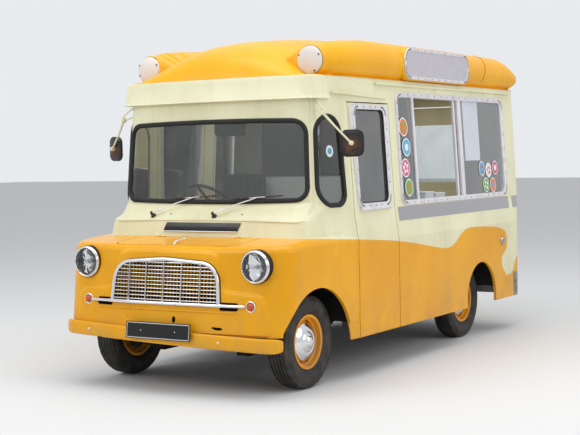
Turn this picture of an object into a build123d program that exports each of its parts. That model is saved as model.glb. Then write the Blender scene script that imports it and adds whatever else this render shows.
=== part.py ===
"""Ice cream truck: a small forward-control van with a raised roof moulding and a serving hatch.

Millimetres. +X is the truck's left, the front looks along -Y, +Z is up, and the ground is at Z = 0.
Y = 0 is half way along the truck.
"""
from build123d import *
from functools import cache
import math
import os

os.makedirs("parts", exist_ok=True)

# Overall sizes
HALF_WIDTH = 895.0
SILL_Z = 280.0
ROOF_BASE_Z = 2075.0
ROOF_RISE = 355.0
FRONT_AXLE_Y = -1507.0
WHEELBASE = 2591.0
REAR_AXLE_Y = FRONT_AXLE_Y + WHEELBASE
WALL = 22.0
PANEL_GAP = 8.0

# Wheels, tyres and what carries them
TYRE_R = 310.0
TYRE_WIDTH = 165.0
BEAD_R = 168.0
RIM_FLANGE_R = 182.0
RIM_HALF_WIDTH = 63.0
AXLE_Z = 310.0
FRONT_TRACK_X = HALF_WIDTH - 185.0
REAR_TRACK_X = HALF_WIDTH - 235.0
KINGPIN_X = FRONT_TRACK_X - 90.0
RUN_FIT = 0.05
STUB_R = 16.0
KINGPIN_R = 11.0
KINGPIN_LOW_Z = AXLE_Z - 78.0
KINGPIN_HIGH_Z = AXLE_Z + 102.0
AXLE_TUBE_R = 36.0

# Stations along the body
DOOR_FRONT_Y = FRONT_AXLE_Y + 495.0
DOOR_REAR_Y = DOOR_FRONT_Y + 610.0
DOOR_TOP_Z = 1900.0
BODY_REAR_Y = REAR_AXLE_Y + 1006.0
REAR_SPLIT_Y = BODY_REAR_Y - 255.0
STEP_FRONT_Y = REAR_SPLIT_Y - 48.0
STEP_TOP_Z = 490.0
NOSE_FRONT_Y = FRONT_AXLE_Y - 555.0
NOSE_LEAN = 70.0
NOSE_BOW = 65.0
NOSE_TOP_Z = 1000.0
NOSE_BOTTOM_Z = 400.0
NOSE_CORNER_R = 150.0
NOSE_EDGE_R = 55.0
CAB_FRONT_BOW = 48.0
CAB_NARROWING = 50.0
CAB_CORNER_R = 34.0
REAR_CORNER_R = 120.0
SHELF_Z = 1134.0
WINDOW_BASE_Z = 1200.0

# Body sections from the sill to the roof's base: the wall leans in evenly above the shelf
WINDOW_BASE_X = HALF_WIDTH - 34.0
WALL_LEAN = 0.0594
TUMBLEHOME = math.atan(WALL_LEAN)
BODY_SECTIONS = [
    # z, half width, cab front at its corner, rear wall
    (SILL_Z, HALF_WIDTH, FRONT_AXLE_Y - 88.0, BODY_REAR_Y - 105.0),
    (930.0, HALF_WIDTH, FRONT_AXLE_Y - 88.0, BODY_REAR_Y - 100.0),
    (SHELF_Z - 22.0, HALF_WIDTH - 27.0, FRONT_AXLE_Y - 45.0, BODY_REAR_Y - 32.0),
    (SHELF_Z, WINDOW_BASE_X + WALL_LEAN * (WINDOW_BASE_Z - SHELF_Z), FRONT_AXLE_Y - 22.0, BODY_REAR_Y - 25.0),
    (WINDOW_BASE_Z, WINDOW_BASE_X, FRONT_AXLE_Y + 52.0, BODY_REAR_Y - 18.0),
    (ROOF_BASE_Z, WINDOW_BASE_X - WALL_LEAN * (ROOF_BASE_Z - WINDOW_BASE_Z), FRONT_AXLE_Y + 102.0,
     BODY_REAR_Y),
]
CAB_SIDE_LENGTH = DOOR_FRONT_Y - BODY_SECTIONS[4][2]

# Wheel arches: foot behind and in front of the wheel, crown
FRONT_ARCH = [(FRONT_AXLE_Y - 453.0, 417.0), (FRONT_AXLE_Y + 20.0, 670.0), (FRONT_AXLE_Y + 385.0, 281.0)]
REAR_ARCH = [(REAR_AXLE_Y - 277.0, 300.0), (REAR_AXLE_Y + 18.0, 631.0), (REAR_AXLE_Y + 313.0, 300.0)]

# Floor, frame and cab inside
FLOOR_Z = 500.0
FLOOR_T = 20.0
CAB_FLOOR_Z = 720.0
CAB_FLOOR_REAR_Y = FRONT_AXLE_Y + 407.0
RAIL_X = 360.0
RAIL_WIDTH = 55.0
RAIL_LOW_Z = 410.0
COVER_HALF_WIDTH = 310.0
CABINET_TOP_Z = 1385.0
CABINET_FRONT_Y = DOOR_REAR_Y + 30.0
COUNTER_Z = 1150.0
STEERING_CENTRE = (-420.0, DOOR_FRONT_Y + 92.0, 1210.0)
STEERING_ANGLE = 50.0
STEERING_R = 205.0

# Serving hatch and window frames, on the side wall
HATCH_FRONT_Y = DOOR_REAR_Y + 110.0
HATCH_REAR_Y = REAR_SPLIT_Y - 92.0
HATCH_LOW_Z = 1158.0
HATCH_HIGH_Z = 1990.0
HATCH_CORNER_R = 70.0
FRAME_WIDTH = 36.0
FRAME_LAP = 18.0
FRAME_PROUD = 6.0
GLASS_T = 5.0
SEAL_WIDTH = 26.0
SEAL_LAP = 9.0
SEAL_PROUD = 5.0


def section_at(z):
    """Half width, cab front and rear wall of the body at a height."""
    pairs = list(zip(BODY_SECTIONS, BODY_SECTIONS[1:]))
    low, high = next((pair for pair in pairs if z <= pair[1][0]), pairs[-1])
    share = (z - low[0]) / (high[0] - low[0])
    return [a + (b - a) * share for a, b in zip(low[1:], high[1:])]


def body_plan(z, inset):
    """Plan outline of the body at a height, moved in by inset."""
    side, front, rear = section_at(z)
    side, front, rear = side - inset, front + inset, rear - inset
    front_x = side - CAB_NARROWING * (DOOR_FRONT_Y - front) / CAB_SIDE_LENGTH
    with BuildSketch(Plane.XY.offset(z)) as plan:
        with BuildLine():
            Polyline((front_x, front), (side, DOOR_FRONT_Y), (side, rear),
                     (-side, rear), (-side, DOOR_FRONT_Y), (-front_x, front))
            ThreePointArc((-front_x, front), (0, front - CAB_FRONT_BOW), (front_x, front))
        make_face()
        fillet(plan.vertices().group_by(Axis.Y)[0], max(CAB_CORNER_R - inset, 4.0))
        fillet(plan.vertices().group_by(Axis.Y)[-1], max(REAR_CORNER_R - inset, 4.0))
    return plan.sketch


@cache
def body_form(inset, low=SILL_Z, high=ROOF_BASE_Z):
    """Solid of the body between two heights, with every wall moved in by inset."""
    between = [row[0] for row in BODY_SECTIONS[1:-1] if low < row[0] < high]
    with BuildPart() as form:
        loft([body_plan(z, inset) for z in [low] + between + [high]], ruled=True)
    return form.part


def nose_plan(z, inset):
    """Plan outline of the nose at a height: a bowed front with round corners."""
    side = HALF_WIDTH - inset
    front = NOSE_FRONT_Y + NOSE_LEAN * (z - NOSE_BOTTOM_Z) / (NOSE_TOP_Z - NOSE_BOTTOM_Z) + inset
    rear = DOOR_FRONT_Y + 30.0 + inset
    with BuildSketch(Plane.XY.offset(z)) as plan:
        with BuildLine():
            Polyline((side, front + NOSE_BOW), (side, rear), (-side, rear), (-side, front + NOSE_BOW))
            ThreePointArc((-side, front + NOSE_BOW), (0, front), (side, front + NOSE_BOW))
        make_face()
        fillet(plan.vertices().group_by(Axis.Y)[0], NOSE_CORNER_R - inset)
    return plan.sketch


NOSE_TOP_PLANE = Plane(origin=(0, FRONT_AXLE_Y - 120.0, NOSE_TOP_Z), z_dir=(0, -0.1, 1))


@cache
def nose_form(inset, low=NOSE_BOTTOM_Z):
    """Solid of the short nose, its top sloping down to the front, moved in by inset."""
    with BuildPart() as nose:
        loft([nose_plan(low, inset), nose_plan(NOSE_TOP_Z + 20.0, inset)], ruled=True)
        split(bisect_by=NOSE_TOP_PLANE.offset(-inset), keep=Keep.BOTTOM)
        split(bisect_by=Plane.XY.offset(NOSE_TOP_Z - inset), keep=Keep.BOTTOM)
        top_edges = nose.faces().filter_by(lambda f: f.normal_at().Z > 0.9).edges()
        rim = top_edges.filter_by(lambda e: e.center().Y < DOOR_FRONT_Y and abs(e.center().X) > 1.0)
        front = top_edges.filter_by(lambda e: e.center().Y < NOSE_FRONT_Y + 150.0)
        fillet(list(dict.fromkeys(rim + front)), NOSE_EDGE_R - inset)
    return nose.part


def rounded(points, radii, inset=0.0):
    """Polygon with its own radius at each corner, then moved in by inset."""
    with BuildSketch() as shape:
        with BuildLine():
            Polyline(*points, close=True)
        make_face()
        for point, radius in zip(points, radii):
            corner = shape.vertices().sort_by_distance((point[0], point[1], 0))[0]
            fillet(corner, radius)
        if inset:
            offset(amount=-inset)
    return shape.sketch


def slab(plane, outline, low, high):
    """Outline drawn on a plane, as a plate between two distances from that plane."""
    with BuildPart() as plate:
        with BuildSketch(plane.offset(low)):
            add(outline)
        extrude(amount=high - low)
    return plate.part


def block(x0, x1, y0, y1, z0, z1):
    """Box between its low and high corners."""
    with BuildPart() as box:
        with Locations(((x0 + x1) / 2, (y0 + y1) / 2, (z0 + z1) / 2)):
            Box(x1 - x0, y1 - y0, z1 - z0)
    return box.part


def rod(start, end, radius, bore=0.0):
    """Round bar or tube between two points."""
    path = Vector(*end) - Vector(*start)
    with BuildPart() as bar:
        with BuildSketch(Plane(origin=start, z_dir=path)):
            Circle(radius)
            if bore:
                Circle(bore, mode=Mode.SUBTRACT)
        extrude(amount=path.length)
    return bar.part


def mirrored(piece):
    """Copy of a piece on the truck's other side."""
    return mirror(piece, about=Plane.YZ, mode=Mode.PRIVATE)


def arch_cutter(arch):
    """Wheel arch opening through both sides, open at the bottom."""
    foot_a, crown, foot_b = arch
    with BuildPart() as cutter:
        with BuildSketch(Plane.YZ):
            with BuildLine():
                ThreePointArc(foot_a, crown, foot_b)
                Polyline(foot_b, (foot_b[0], 0), (foot_a[0], 0), foot_a)
            make_face()
        extrude(amount=HALF_WIDTH + 100.0, both=True)
    return cutter.part


def save(piece, name):
    """Label one finished piece and write it."""
    piece.label = name
    export_step(piece, "parts/" + name + ".step")


# The skin of the whole body: outside less inside
with BuildPart() as skin:
    add(body_form(0))
    add(nose_form(0))
    add(body_form(WALL, SILL_Z - 10.0, ROOF_BASE_Z + 10.0), mode=Mode.SUBTRACT)
    add(nose_form(WALL, SILL_Z - 20.0), mode=Mode.SUBTRACT)
    add(arch_cutter(FRONT_ARCH), mode=Mode.SUBTRACT)
    add(arch_cutter(REAR_ARCH), mode=Mode.SUBTRACT)

FAR = 3000.0
HALF_GAP = PANEL_GAP / 2
FRONT_EDGE = DOOR_FRONT_Y - HALF_GAP
REAR_EDGE = DOOR_REAR_Y + HALF_GAP

# Planes that lie on the side wall, on its narrowing front part, and their mirror images
SIDE_PLANE = Plane(origin=(WINDOW_BASE_X, 0, WINDOW_BASE_Z), x_dir=(0, 1, 0),
                   z_dir=(math.cos(TUMBLEHOME), 0, math.sin(TUMBLEHOME)))
NARROW_ANGLE = math.atan2(CAB_NARROWING, CAB_SIDE_LENGTH)
QUARTER_PLANE = Plane(origin=(WINDOW_BASE_X, DOOR_FRONT_Y, WINDOW_BASE_Z),
                      x_dir=(math.sin(NARROW_ANGLE), math.cos(NARROW_ANGLE), 0),
                      z_dir=(math.cos(NARROW_ANGLE), -math.sin(NARROW_ANGLE),
                             math.cos(NARROW_ANGLE) * math.tan(TUMBLEHOME)))


def up_wall(z):
    """Height on the side wall's own plane."""
    return (z - WINDOW_BASE_Z) / math.cos(TUMBLEHOME)


# Window outlines, as the outer edge of the frame or seal
HATCH_POINTS = [(HATCH_FRONT_Y, up_wall(HATCH_LOW_Z)), (HATCH_REAR_Y, up_wall(HATCH_LOW_Z)),
                (HATCH_REAR_Y, up_wall(HATCH_HIGH_Z)), (HATCH_FRONT_Y, up_wall(HATCH_HIGH_Z))]
HATCH_RADII = [HATCH_CORNER_R] * 4
DOOR_WINDOW_POINTS = [(DOOR_FRONT_Y + 55.0, up_wall(1163.0)), (DOOR_REAR_Y - 57.0, up_wall(1163.0)),
                      (DOOR_REAR_Y - 9.0, up_wall(1887.0)), (DOOR_FRONT_Y + 9.0, up_wall(1887.0))]
DOOR_WINDOW_RADII = [62.0, 62.0, 58.0, 58.0]
QUARTER_POINTS = [(-402.0, up_wall(1195.0)), (-88.0, up_wall(1195.0)),
                  (-112.0, up_wall(1806.0)), (-372.0, up_wall(1806.0))]
QUARTER_RADII = [150.0, 75.0, 140.0, 125.0]
SCREEN_POINTS = [(-768.0, 1210.0), (768.0, 1210.0), (745.0, 1790.0), (-745.0, 1790.0)]
SCREEN_RADII = [85.0, 85.0, 105.0, 105.0]
REAR_WINDOW_POINTS = [(-300.0, 1260.0), (300.0, 1260.0), (300.0, 1800.0), (-300.0, 1800.0)]
REAR_WINDOW_RADII = [70.0] * 4
FRONT_PLANE = Plane(origin=(0, -1300.0, 0), x_dir=(1, 0, 0), z_dir=(0, -1, 0))
BACK_PLANE = Plane(origin=(0, BODY_REAR_Y - 200.0, 0), x_dir=(-1, 0, 0), z_dir=(0, 1, 0))

hatch_hole = slab(SIDE_PLANE, rounded(HATCH_POINTS, HATCH_RADII, FRAME_LAP), -60.0, 40.0)
door_hole = slab(SIDE_PLANE, rounded(DOOR_WINDOW_POINTS, DOOR_WINDOW_RADII, FRAME_LAP), -60.0, 40.0)
quarter_hole = slab(QUARTER_PLANE, rounded(QUARTER_POINTS, QUARTER_RADII, SEAL_LAP), -60.0, 40.0)
screen_hole = slab(FRONT_PLANE, rounded(SCREEN_POINTS, SCREEN_RADII, SEAL_LAP), 0.0, 400.0)
rear_hole = slab(BACK_PLANE, rounded(REAR_WINDOW_POINTS, REAR_WINDOW_RADII, SEAL_LAP), 0.0, 300.0)

# Hinges: two fixed knuckles and a pin, with one moving knuckle between them
KNUCKLE_R = 6.0
PIN_R = 3.0
HINGE_HALF = 45.0
HINGE_MIDDLE = 15.0
HINGE_OUT = 1.0
KNUCKLE_ROOM = 9.0
DOOR_HINGE_ZS = [430.0, 850.0]
REAR_HINGE_ZS = [1300.0, 1800.0]
BONNET_HINGE_XS = [-330.0, 330.0]
BONNET_FRONT_Y = NOSE_FRONT_Y + 112.0
BONNET_REAR_Y = FRONT_AXLE_Y - 137.0
BONNET_HALF_WIDTH = 495.0
BONNET_T = 14.0
REAR_DOOR_HALF = 400.0
REAR_DOOR_LOW_Z = STEP_TOP_Z + 18.0
REAR_DOOR_TOP_Z = 1950.0


def hinge_plane(point, axis, towards):
    """Plane at a hinge whose Z is the hinge line and whose X points at the moving leaf."""
    return Plane(origin=point, x_dir=towards, z_dir=axis)


def knuckles(plane, moving, leaf_depth):
    """One half of a hinge: the moving tube, or the two fixed knuckles with their pin."""
    spans = [(-HINGE_MIDDLE + 0.3, HINGE_MIDDLE - 0.3)] if moving else [
        (-HINGE_HALF, -HINGE_MIDDLE), (HINGE_MIDDLE, HINGE_HALF)]
    reach = 16.0 if moving else -16.0
    with BuildPart() as half:
        for low, high in spans:
            with BuildSketch(plane.offset(low)):
                Circle(KNUCKLE_R)
                with Locations((reach / 2, leaf_depth / 2)):
                    Rectangle(abs(reach), abs(leaf_depth))
                if moving:
                    Circle(PIN_R + RUN_FIT, mode=Mode.SUBTRACT)
            extrude(amount=high - low)
        if not moving:
            with BuildSketch(plane.offset(-HINGE_MIDDLE)):
                Circle(PIN_R)
            extrude(amount=2 * HINGE_MIDDLE)
    return half.part


def knuckle_room(plane, for_moving):
    """Room cut from a panel for the other panel's knuckles."""
    spans = [(-HINGE_MIDDLE - 1.0, HINGE_MIDDLE + 1.0)] if for_moving else [
        (-HINGE_HALF - 1.0, -HINGE_MIDDLE + 0.3), (HINGE_MIDDLE - 0.3, HINGE_HALF + 1.0)]
    with BuildPart() as room:
        for low, high in spans:
            with BuildSketch(plane.offset(low)):
                Circle(KNUCKLE_ROOM)
            extrude(amount=high - low)
    return room.part


DOOR_HINGES = [hinge_plane((HALF_WIDTH + HINGE_OUT, DOOR_FRONT_Y, z), (0, 0, 1),
                           (0, 1, 0)) for z in DOOR_HINGE_ZS]
REAR_HINGES = [hinge_plane((-REAR_DOOR_HALF - HALF_GAP, BODY_REAR_Y + HINGE_OUT, z), (0, 0, -1), (1, 0, 0))
               for z in REAR_HINGE_ZS]
BONNET_HINGES = [hinge_plane((x, BONNET_REAR_Y + HALF_GAP, NOSE_TOP_Z + HINGE_OUT), (1, 0, 0), (0, -1, 0))
                 for x in BONNET_HINGE_XS]

# Front end: nose and wings in one pressing
bonnet_outline = rounded([(-BONNET_HALF_WIDTH, BONNET_REAR_Y), (BONNET_HALF_WIDTH, BONNET_REAR_Y),
                          (BONNET_HALF_WIDTH - 15.0, BONNET_FRONT_Y),
                          (-BONNET_HALF_WIDTH + 15.0, BONNET_FRONT_Y)],
                         [6.0, 6.0, 60.0, 60.0])
with BuildSketch() as bonnet_opening:
    add(bonnet_outline)
    offset(amount=PANEL_GAP)
front_cuts = [slab(Plane.XY, bonnet_opening.sketch, NOSE_TOP_Z - 150.0, NOSE_TOP_Z + 20.0)]
front_cuts += [knuckle_room(plane, True) for plane in BONNET_HINGES]
front_cuts += [knuckle_room(plane, True) for plane in DOOR_HINGES]
front_cuts += [mirrored(knuckle_room(plane, True)) for plane in DOOR_HINGES]
with BuildPart() as front_end:
    add(skin.part)
    add(block(-FAR, FAR, -FAR, FRONT_EDGE, 0, NOSE_TOP_Z), mode=Mode.INTERSECT)
    for piece in front_cuts:
        add(piece, mode=Mode.SUBTRACT)
    for plane in BONNET_HINGES:
        add(knuckles(plane, False, 6.0))
    for plane in DOOR_HINGES:
        add(knuckles(plane, False, 7.0))
        add(mirrored(knuckles(plane, False, 7.0)))
save(front_end.part, "front_end")

# Bonnet
with BuildPart() as bonnet:
    add(nose_form(0))
    add(nose_form(BONNET_T), mode=Mode.SUBTRACT)
    add(slab(Plane.XY, bonnet_outline, NOSE_TOP_Z - 150.0, NOSE_TOP_Z + 20.0), mode=Mode.INTERSECT)
    for plane in BONNET_HINGES:
        add(knuckle_room(plane, False), mode=Mode.SUBTRACT)
        add(knuckles(plane, True, 6.0))
save(bonnet.part, "bonnet")

# Cab front: scuttle, windscreen surround and quarter panels
with BuildPart() as cab_front:
    add(skin.part)
    add(block(-FAR, FAR, -FAR, FRONT_EDGE, NOSE_TOP_Z, ROOF_BASE_Z), mode=Mode.INTERSECT)
    add(screen_hole, mode=Mode.SUBTRACT)
    add(quarter_hole, mode=Mode.SUBTRACT)
    add(mirrored(quarter_hole), mode=Mode.SUBTRACT)
save(cab_front.part, "cab_front")

# Side panels, each with the rail over its cab door
with BuildPart() as side_room:
    add(block(0, FAR, REAR_EDGE, STEP_FRONT_Y, 0, ROOF_BASE_Z))
    add(block(0, FAR, REAR_EDGE, REAR_SPLIT_Y, STEP_TOP_Z, ROOF_BASE_Z))
    add(block(0, FAR, FRONT_EDGE, REAR_EDGE + 1.0, DOOR_TOP_Z + HALF_GAP, ROOF_BASE_Z))
with BuildPart() as side_left:
    add(skin.part)
    add(side_room.part, mode=Mode.INTERSECT)
    add(hatch_hole, mode=Mode.SUBTRACT)
save(side_left.part, "side_left")
save(mirrored(side_left.part), "side_right")

# Cab doors, their rear inner edge cut back so that they swing clear
DOOR_REBATE = 10.0
with BuildPart() as rebate:
    add(body_form(WALL / 2))
    add(block(0, FAR, DOOR_REAR_Y - HALF_GAP - DOOR_REBATE, FAR, 0, FAR), mode=Mode.INTERSECT)
with BuildPart() as door_left:
    add(skin.part)
    add(block(0, FAR, DOOR_FRONT_Y + HALF_GAP, DOOR_REAR_Y - HALF_GAP, 0, DOOR_TOP_Z - HALF_GAP),
        mode=Mode.INTERSECT)
    add(door_hole, mode=Mode.SUBTRACT)
    add(rebate.part, mode=Mode.SUBTRACT)
    for plane in DOOR_HINGES:
        add(knuckle_room(plane, False), mode=Mode.SUBTRACT)
        add(knuckles(plane, True, 7.0))
save(door_left.part, "door_left")
save(mirrored(door_left.part), "door_right")

# Rear panel, rear door and the step that clads the lower corners
rear_door_room = block(-REAR_DOOR_HALF, REAR_DOOR_HALF, 0, FAR, REAR_DOOR_LOW_Z, REAR_DOOR_TOP_Z)
rear_opening = block(-REAR_DOOR_HALF - PANEL_GAP, REAR_DOOR_HALF + PANEL_GAP, 0, FAR,
                     REAR_DOOR_LOW_Z - PANEL_GAP, REAR_DOOR_TOP_Z + PANEL_GAP)
with BuildPart() as rear_panel:
    add(skin.part)
    add(block(-FAR, FAR, REAR_SPLIT_Y, FAR, STEP_TOP_Z, ROOF_BASE_Z), mode=Mode.INTERSECT)
    add(rear_opening, mode=Mode.SUBTRACT)
    for plane in REAR_HINGES:
        add(knuckle_room(plane, True), mode=Mode.SUBTRACT)
        add(knuckles(plane, False, 24.0))
save(rear_panel.part, "rear_panel")

with BuildPart() as rear_door:
    add(skin.part)
    add(rear_door_room, mode=Mode.INTERSECT)
    add(rear_hole, mode=Mode.SUBTRACT)
    for plane in REAR_HINGES:
        add(knuckle_room(plane, False), mode=Mode.SUBTRACT)
        add(knuckles(plane, True, 24.0))
save(rear_door.part, "rear_door")

with BuildPart() as rear_step:
    add(skin.part)
    add(body_form(WALL, STEP_TOP_Z - 30.0, STEP_TOP_Z))
    add(block(-FAR, FAR, STEP_FRONT_Y, FAR, 0, STEP_TOP_Z), mode=Mode.INTERSECT)
save(rear_step.part, "rear_step")

# Roof moulding: a crowned dome between two rounded side pods
POD_X = HALF_WIDTH - 190.0
POD_OUT_X = HALF_WIDTH - 48.0
ROOF_T = 26.0
ROOF_FRONT_Y = BODY_SECTIONS[5][2] - CAB_FRONT_BOW
ROOF_LENGTH = BODY_REAR_Y - ROOF_FRONT_Y
# Dome sections: place from the front, half width, shoulder half width, shoulder rise, crown rise
DOME_SECTIONS = [
    (1.0, 130.0, 70.0, 20.0, 24.0),
    (14.0, 390.0, 245.0, 84.0, 102.0),
    (46.0, 575.0, 350.0, 134.0, 176.0),
    (95.0, 598.0, 385.0, 166.0, 213.0),
    (230.0, 574.0, 400.0, 202.0, 252.0),
    (580.0, 735.0, 440.0, 252.0, 302.0),
    (1100.0, 735.0, 440.0, 290.0, 342.0),
    (1700.0, 735.0, 440.0, 302.0, ROOF_RISE),
    (ROOF_LENGTH - 700.0, 735.0, 440.0, 296.0, ROOF_RISE - 9.0),
    (ROOF_LENGTH - 320.0, 735.0, 440.0, 268.0, ROOF_RISE - 42.0),
    (ROOF_LENGTH - 120.0, 735.0, 440.0, 208.0, 246.0),
    (ROOF_LENGTH - 40.0, 725.0, 430.0, 140.0, 166.0),
    (ROOF_LENGTH - 4.0, 705.0, 420.0, 50.0, 60.0),
]
# Pod sections: place, centre across, centre rise, half width, half height
POD_SECTIONS = [
    (FRONT_AXLE_Y + 307.0, POD_X - 25.0, 105.0, 108.0, 106.0),
    (FRONT_AXLE_Y + 420.0, POD_X - 12.0, 113.0, 124.0, 126.0),
    (FRONT_AXLE_Y + 640.0, POD_X, 122.0, 136.0, 140.0),
    (FRONT_AXLE_Y + 1000.0, POD_X, 132.0, 142.0, 148.0),
    (BODY_REAR_Y - 360.0, POD_X, 130.0, 142.0, 146.0),
    (BODY_REAR_Y - 190.0, POD_X + 7.0, 124.0, 134.0, 132.0),
    (BODY_REAR_Y - 80.0, POD_X + 22.0, 113.0, 118.0, 104.0),
    (BODY_REAR_Y - 5.0, POD_X + 43.0, 109.0, 88.0, 72.0),
    (BODY_REAR_Y + 44.0, POD_X + 62.0, 110.0, 46.0, 40.0),
]


def dome(inset):
    """Crowned middle of the roof, through arched sections."""
    low = ROOF_BASE_Z - 2.0 * inset
    sections = []
    for place, base, shoulder, shoulder_rise, crown in DOME_SECTIONS:
        y = ROOF_FRONT_Y + place
        side_z = ROOF_BASE_Z + shoulder_rise - inset
        bulge_x = (base + shoulder) / 2 + 42.0 - inset
        bulge_z = ROOF_BASE_Z + shoulder_rise * 0.62 - inset
        with BuildSketch(Plane(origin=(0, y, 0), x_dir=(1, 0, 0), z_dir=(0, -1, 0))) as arch:
            with BuildLine():
                ThreePointArc((base - inset, low), (bulge_x, bulge_z), (shoulder, side_z))
                ThreePointArc((shoulder, side_z), (0, ROOF_BASE_Z + crown - inset), (-shoulder, side_z))
                ThreePointArc((-shoulder, side_z), (-bulge_x, bulge_z), (-base + inset, low))
                Line((-base + inset, low), (base - inset, low))
            make_face()
        sections.append(arch.sketch)
    with BuildPart() as crowned:
        loft(sections, ruled=True)
    return crowned.part


def pod(inset):
    """Left side pod, a rounded moulding that tapers to a tail."""
    sections = []
    for y, x, rise, half_x, half_z in POD_SECTIONS:
        with BuildSketch(Plane(origin=(0, y, 0), x_dir=(1, 0, 0), z_dir=(0, -1, 0))) as oval:
            with Locations((x, ROOF_BASE_Z + rise)):
                Ellipse(half_x - inset, half_z - inset)
        sections.append(oval.sketch)
    with BuildPart() as side_pod:
        loft(sections, ruled=True)
    return side_pod.part


with BuildPart() as pod_hollow:
    add(pod(ROOF_T))
    add(block(0, FAR, POD_SECTIONS[0][0] + ROOF_T, BODY_REAR_Y - 60.0, ROOF_BASE_Z + ROOF_T, FAR),
        mode=Mode.INTERSECT)
with BuildPart() as headroom:
    add(dome(ROOF_T))
    add(block(-FAR, FAR, ROOF_FRONT_Y + 80.0, BODY_REAR_Y - 60.0, 0, FAR), mode=Mode.INTERSECT)
left_pod = pod(0)
with BuildPart() as roof:
    add(dome(0))
    add(left_pod)
    add(mirrored(left_pod))
    with BuildSketch(Plane.XY.offset(ROOF_BASE_Z)) as rim:
        add(body_plan(ROOF_BASE_Z, 0).moved(Location((0, 0, -ROOF_BASE_Z))))
    extrude(amount=24.0)
    add(block(-FAR, FAR, -FAR, FAR, ROOF_BASE_Z, FAR), mode=Mode.INTERSECT)
    add(headroom.part, mode=Mode.SUBTRACT)
    add(pod_hollow.part, mode=Mode.SUBTRACT)
    add(mirrored(pod_hollow.part), mode=Mode.SUBTRACT)
save(roof.part, "roof")

# Head band: a visor over the windscreen that flares out at its lower edge
BAND_LOW_Z = 1915.0
BAND_FLARE = 42.0
BAND_REAR_Y = DOOR_FRONT_Y - 216.0
with BuildPart() as head_band:
    loft([body_plan(BAND_LOW_Z, -BAND_FLARE), body_plan(ROOF_BASE_Z - 60.0, -14.0),
          body_plan(ROOF_BASE_Z - 2.0, -6.0)],
         ruled=True)
    add(body_form(0), mode=Mode.SUBTRACT)
    add(block(-FAR, FAR, -FAR, BAND_REAR_Y, 0, FAR), mode=Mode.INTERSECT)
save(head_band.part, "head_band")


def ring(points, radii, outer_inset, inner_inset):
    """Frame-shaped sketch between two insets of one outline."""
    with BuildSketch() as frame_ring:
        add(rounded(points, radii, outer_inset))
        add(rounded(points, radii, inner_inset), mode=Mode.SUBTRACT)
    return frame_ring.sketch


def window_frame(plane, points, radii):
    """Metal frame: a flange on the outside and a sleeve through the wall."""
    with BuildPart() as frame:
        add(slab(plane, ring(points, radii, 0, FRAME_WIDTH), 0, FRAME_PROUD))
        add(slab(plane, ring(points, radii, FRAME_LAP, FRAME_WIDTH), -WALL - 8.0, 0.5))
    return frame.part


def strip(y0, y1, z0, z1):
    """Upright rectangle on the side wall."""
    with BuildSketch() as area:
        with Locations(((y0 + y1) / 2, (up_wall(z0) + up_wall(z1)) / 2)):
            Rectangle(y1 - y0, up_wall(z1) - up_wall(z0))
    return area.sketch


# Serving hatch frame with its mullions, and the same frame as a window on the right
MULLIONS = [
    # from, to, outer depth, inner depth
    (HATCH_FRONT_Y + 280.0, HATCH_FRONT_Y + 304.0, -2.0, -20.0),
    (HATCH_FRONT_Y + 1104.0, HATCH_FRONT_Y + 1170.0, -2.0, -18.0),
    (HATCH_FRONT_Y + 1050.0, HATCH_FRONT_Y + 1082.0, -20.0, -30.0),
]
with BuildPart() as hatch_frame:
    add(window_frame(SIDE_PLANE, HATCH_POINTS, HATCH_RADII))
    for y0, y1, near, far in MULLIONS:
        add(slab(SIDE_PLANE, strip(y0, y1, HATCH_LOW_Z + FRAME_LAP + 6.0, HATCH_HIGH_Z - FRAME_LAP - 6.0),
                 far, near))
with BuildPart() as window_frames:
    add(hatch_frame.part)
    add(mirrored(hatch_frame.part))
save(window_frames.part, "window_frames")


def pane(plane, outline, y0, y1, outer, inner):
    """Glass between two places along an outline, at a depth in the wall."""
    with BuildPart() as glass:
        add(slab(plane, outline, inner, outer))
        add(slab(plane, strip(y0, y1, 0, FAR), -100.0, 100.0), mode=Mode.INTERSECT)
    return glass.part


hatch_light = rounded(HATCH_POINTS, HATCH_RADII, FRAME_WIDTH)
first, second, slider = MULLIONS
left_panes = [pane(SIDE_PLANE, hatch_light, HATCH_FRONT_Y, first[0], -9.0, -9.0 - GLASS_T),
              pane(SIDE_PLANE, hatch_light, second[1], HATCH_REAR_Y, -9.0, -9.0 - GLASS_T),
              pane(SIDE_PLANE, hatch_light, slider[1], HATCH_REAR_Y - 300.0, -23.0, -23.0 - GLASS_T)]
right_panes = [left_panes[0], left_panes[1],
               pane(SIDE_PLANE, hatch_light, first[1], slider[0], -23.0, -23.0 - GLASS_T)]
with BuildPart() as body_glass:
    for piece in left_panes:
        add(piece)
    for piece in right_panes:
        add(mirrored(piece))
save(body_glass.part, "body_glass")

with BuildPart() as door_left_frame:
    add(window_frame(SIDE_PLANE, DOOR_WINDOW_POINTS, DOOR_WINDOW_RADII))
save(door_left_frame.part, "door_left_frame")
save(mirrored(door_left_frame.part), "door_right_frame")
with BuildPart() as door_left_glass:
    add(slab(SIDE_PLANE, rounded(DOOR_WINDOW_POINTS, DOOR_WINDOW_RADII, FRAME_WIDTH), -14.0, -9.0))
save(door_left_glass.part, "door_left_glass")
save(mirrored(door_left_glass.part), "door_right_glass")

# Windscreen and quarter windows in rubber seals, bent with the cab's front
with BuildPart() as front_zone:
    add(block(-FAR, FAR, -FAR, FRONT_AXLE_Y + 300.0, SHELF_Z, 1860.0))


def front_layer(outer, inner):
    """Skin between two insets of the cab's front."""
    with BuildPart() as layer:
        add(body_form(outer))
        add(body_form(inner, SILL_Z - 10.0, ROOF_BASE_Z + 10.0), mode=Mode.SUBTRACT)
        add(front_zone.part, mode=Mode.INTERSECT)
    return layer.part


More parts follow.
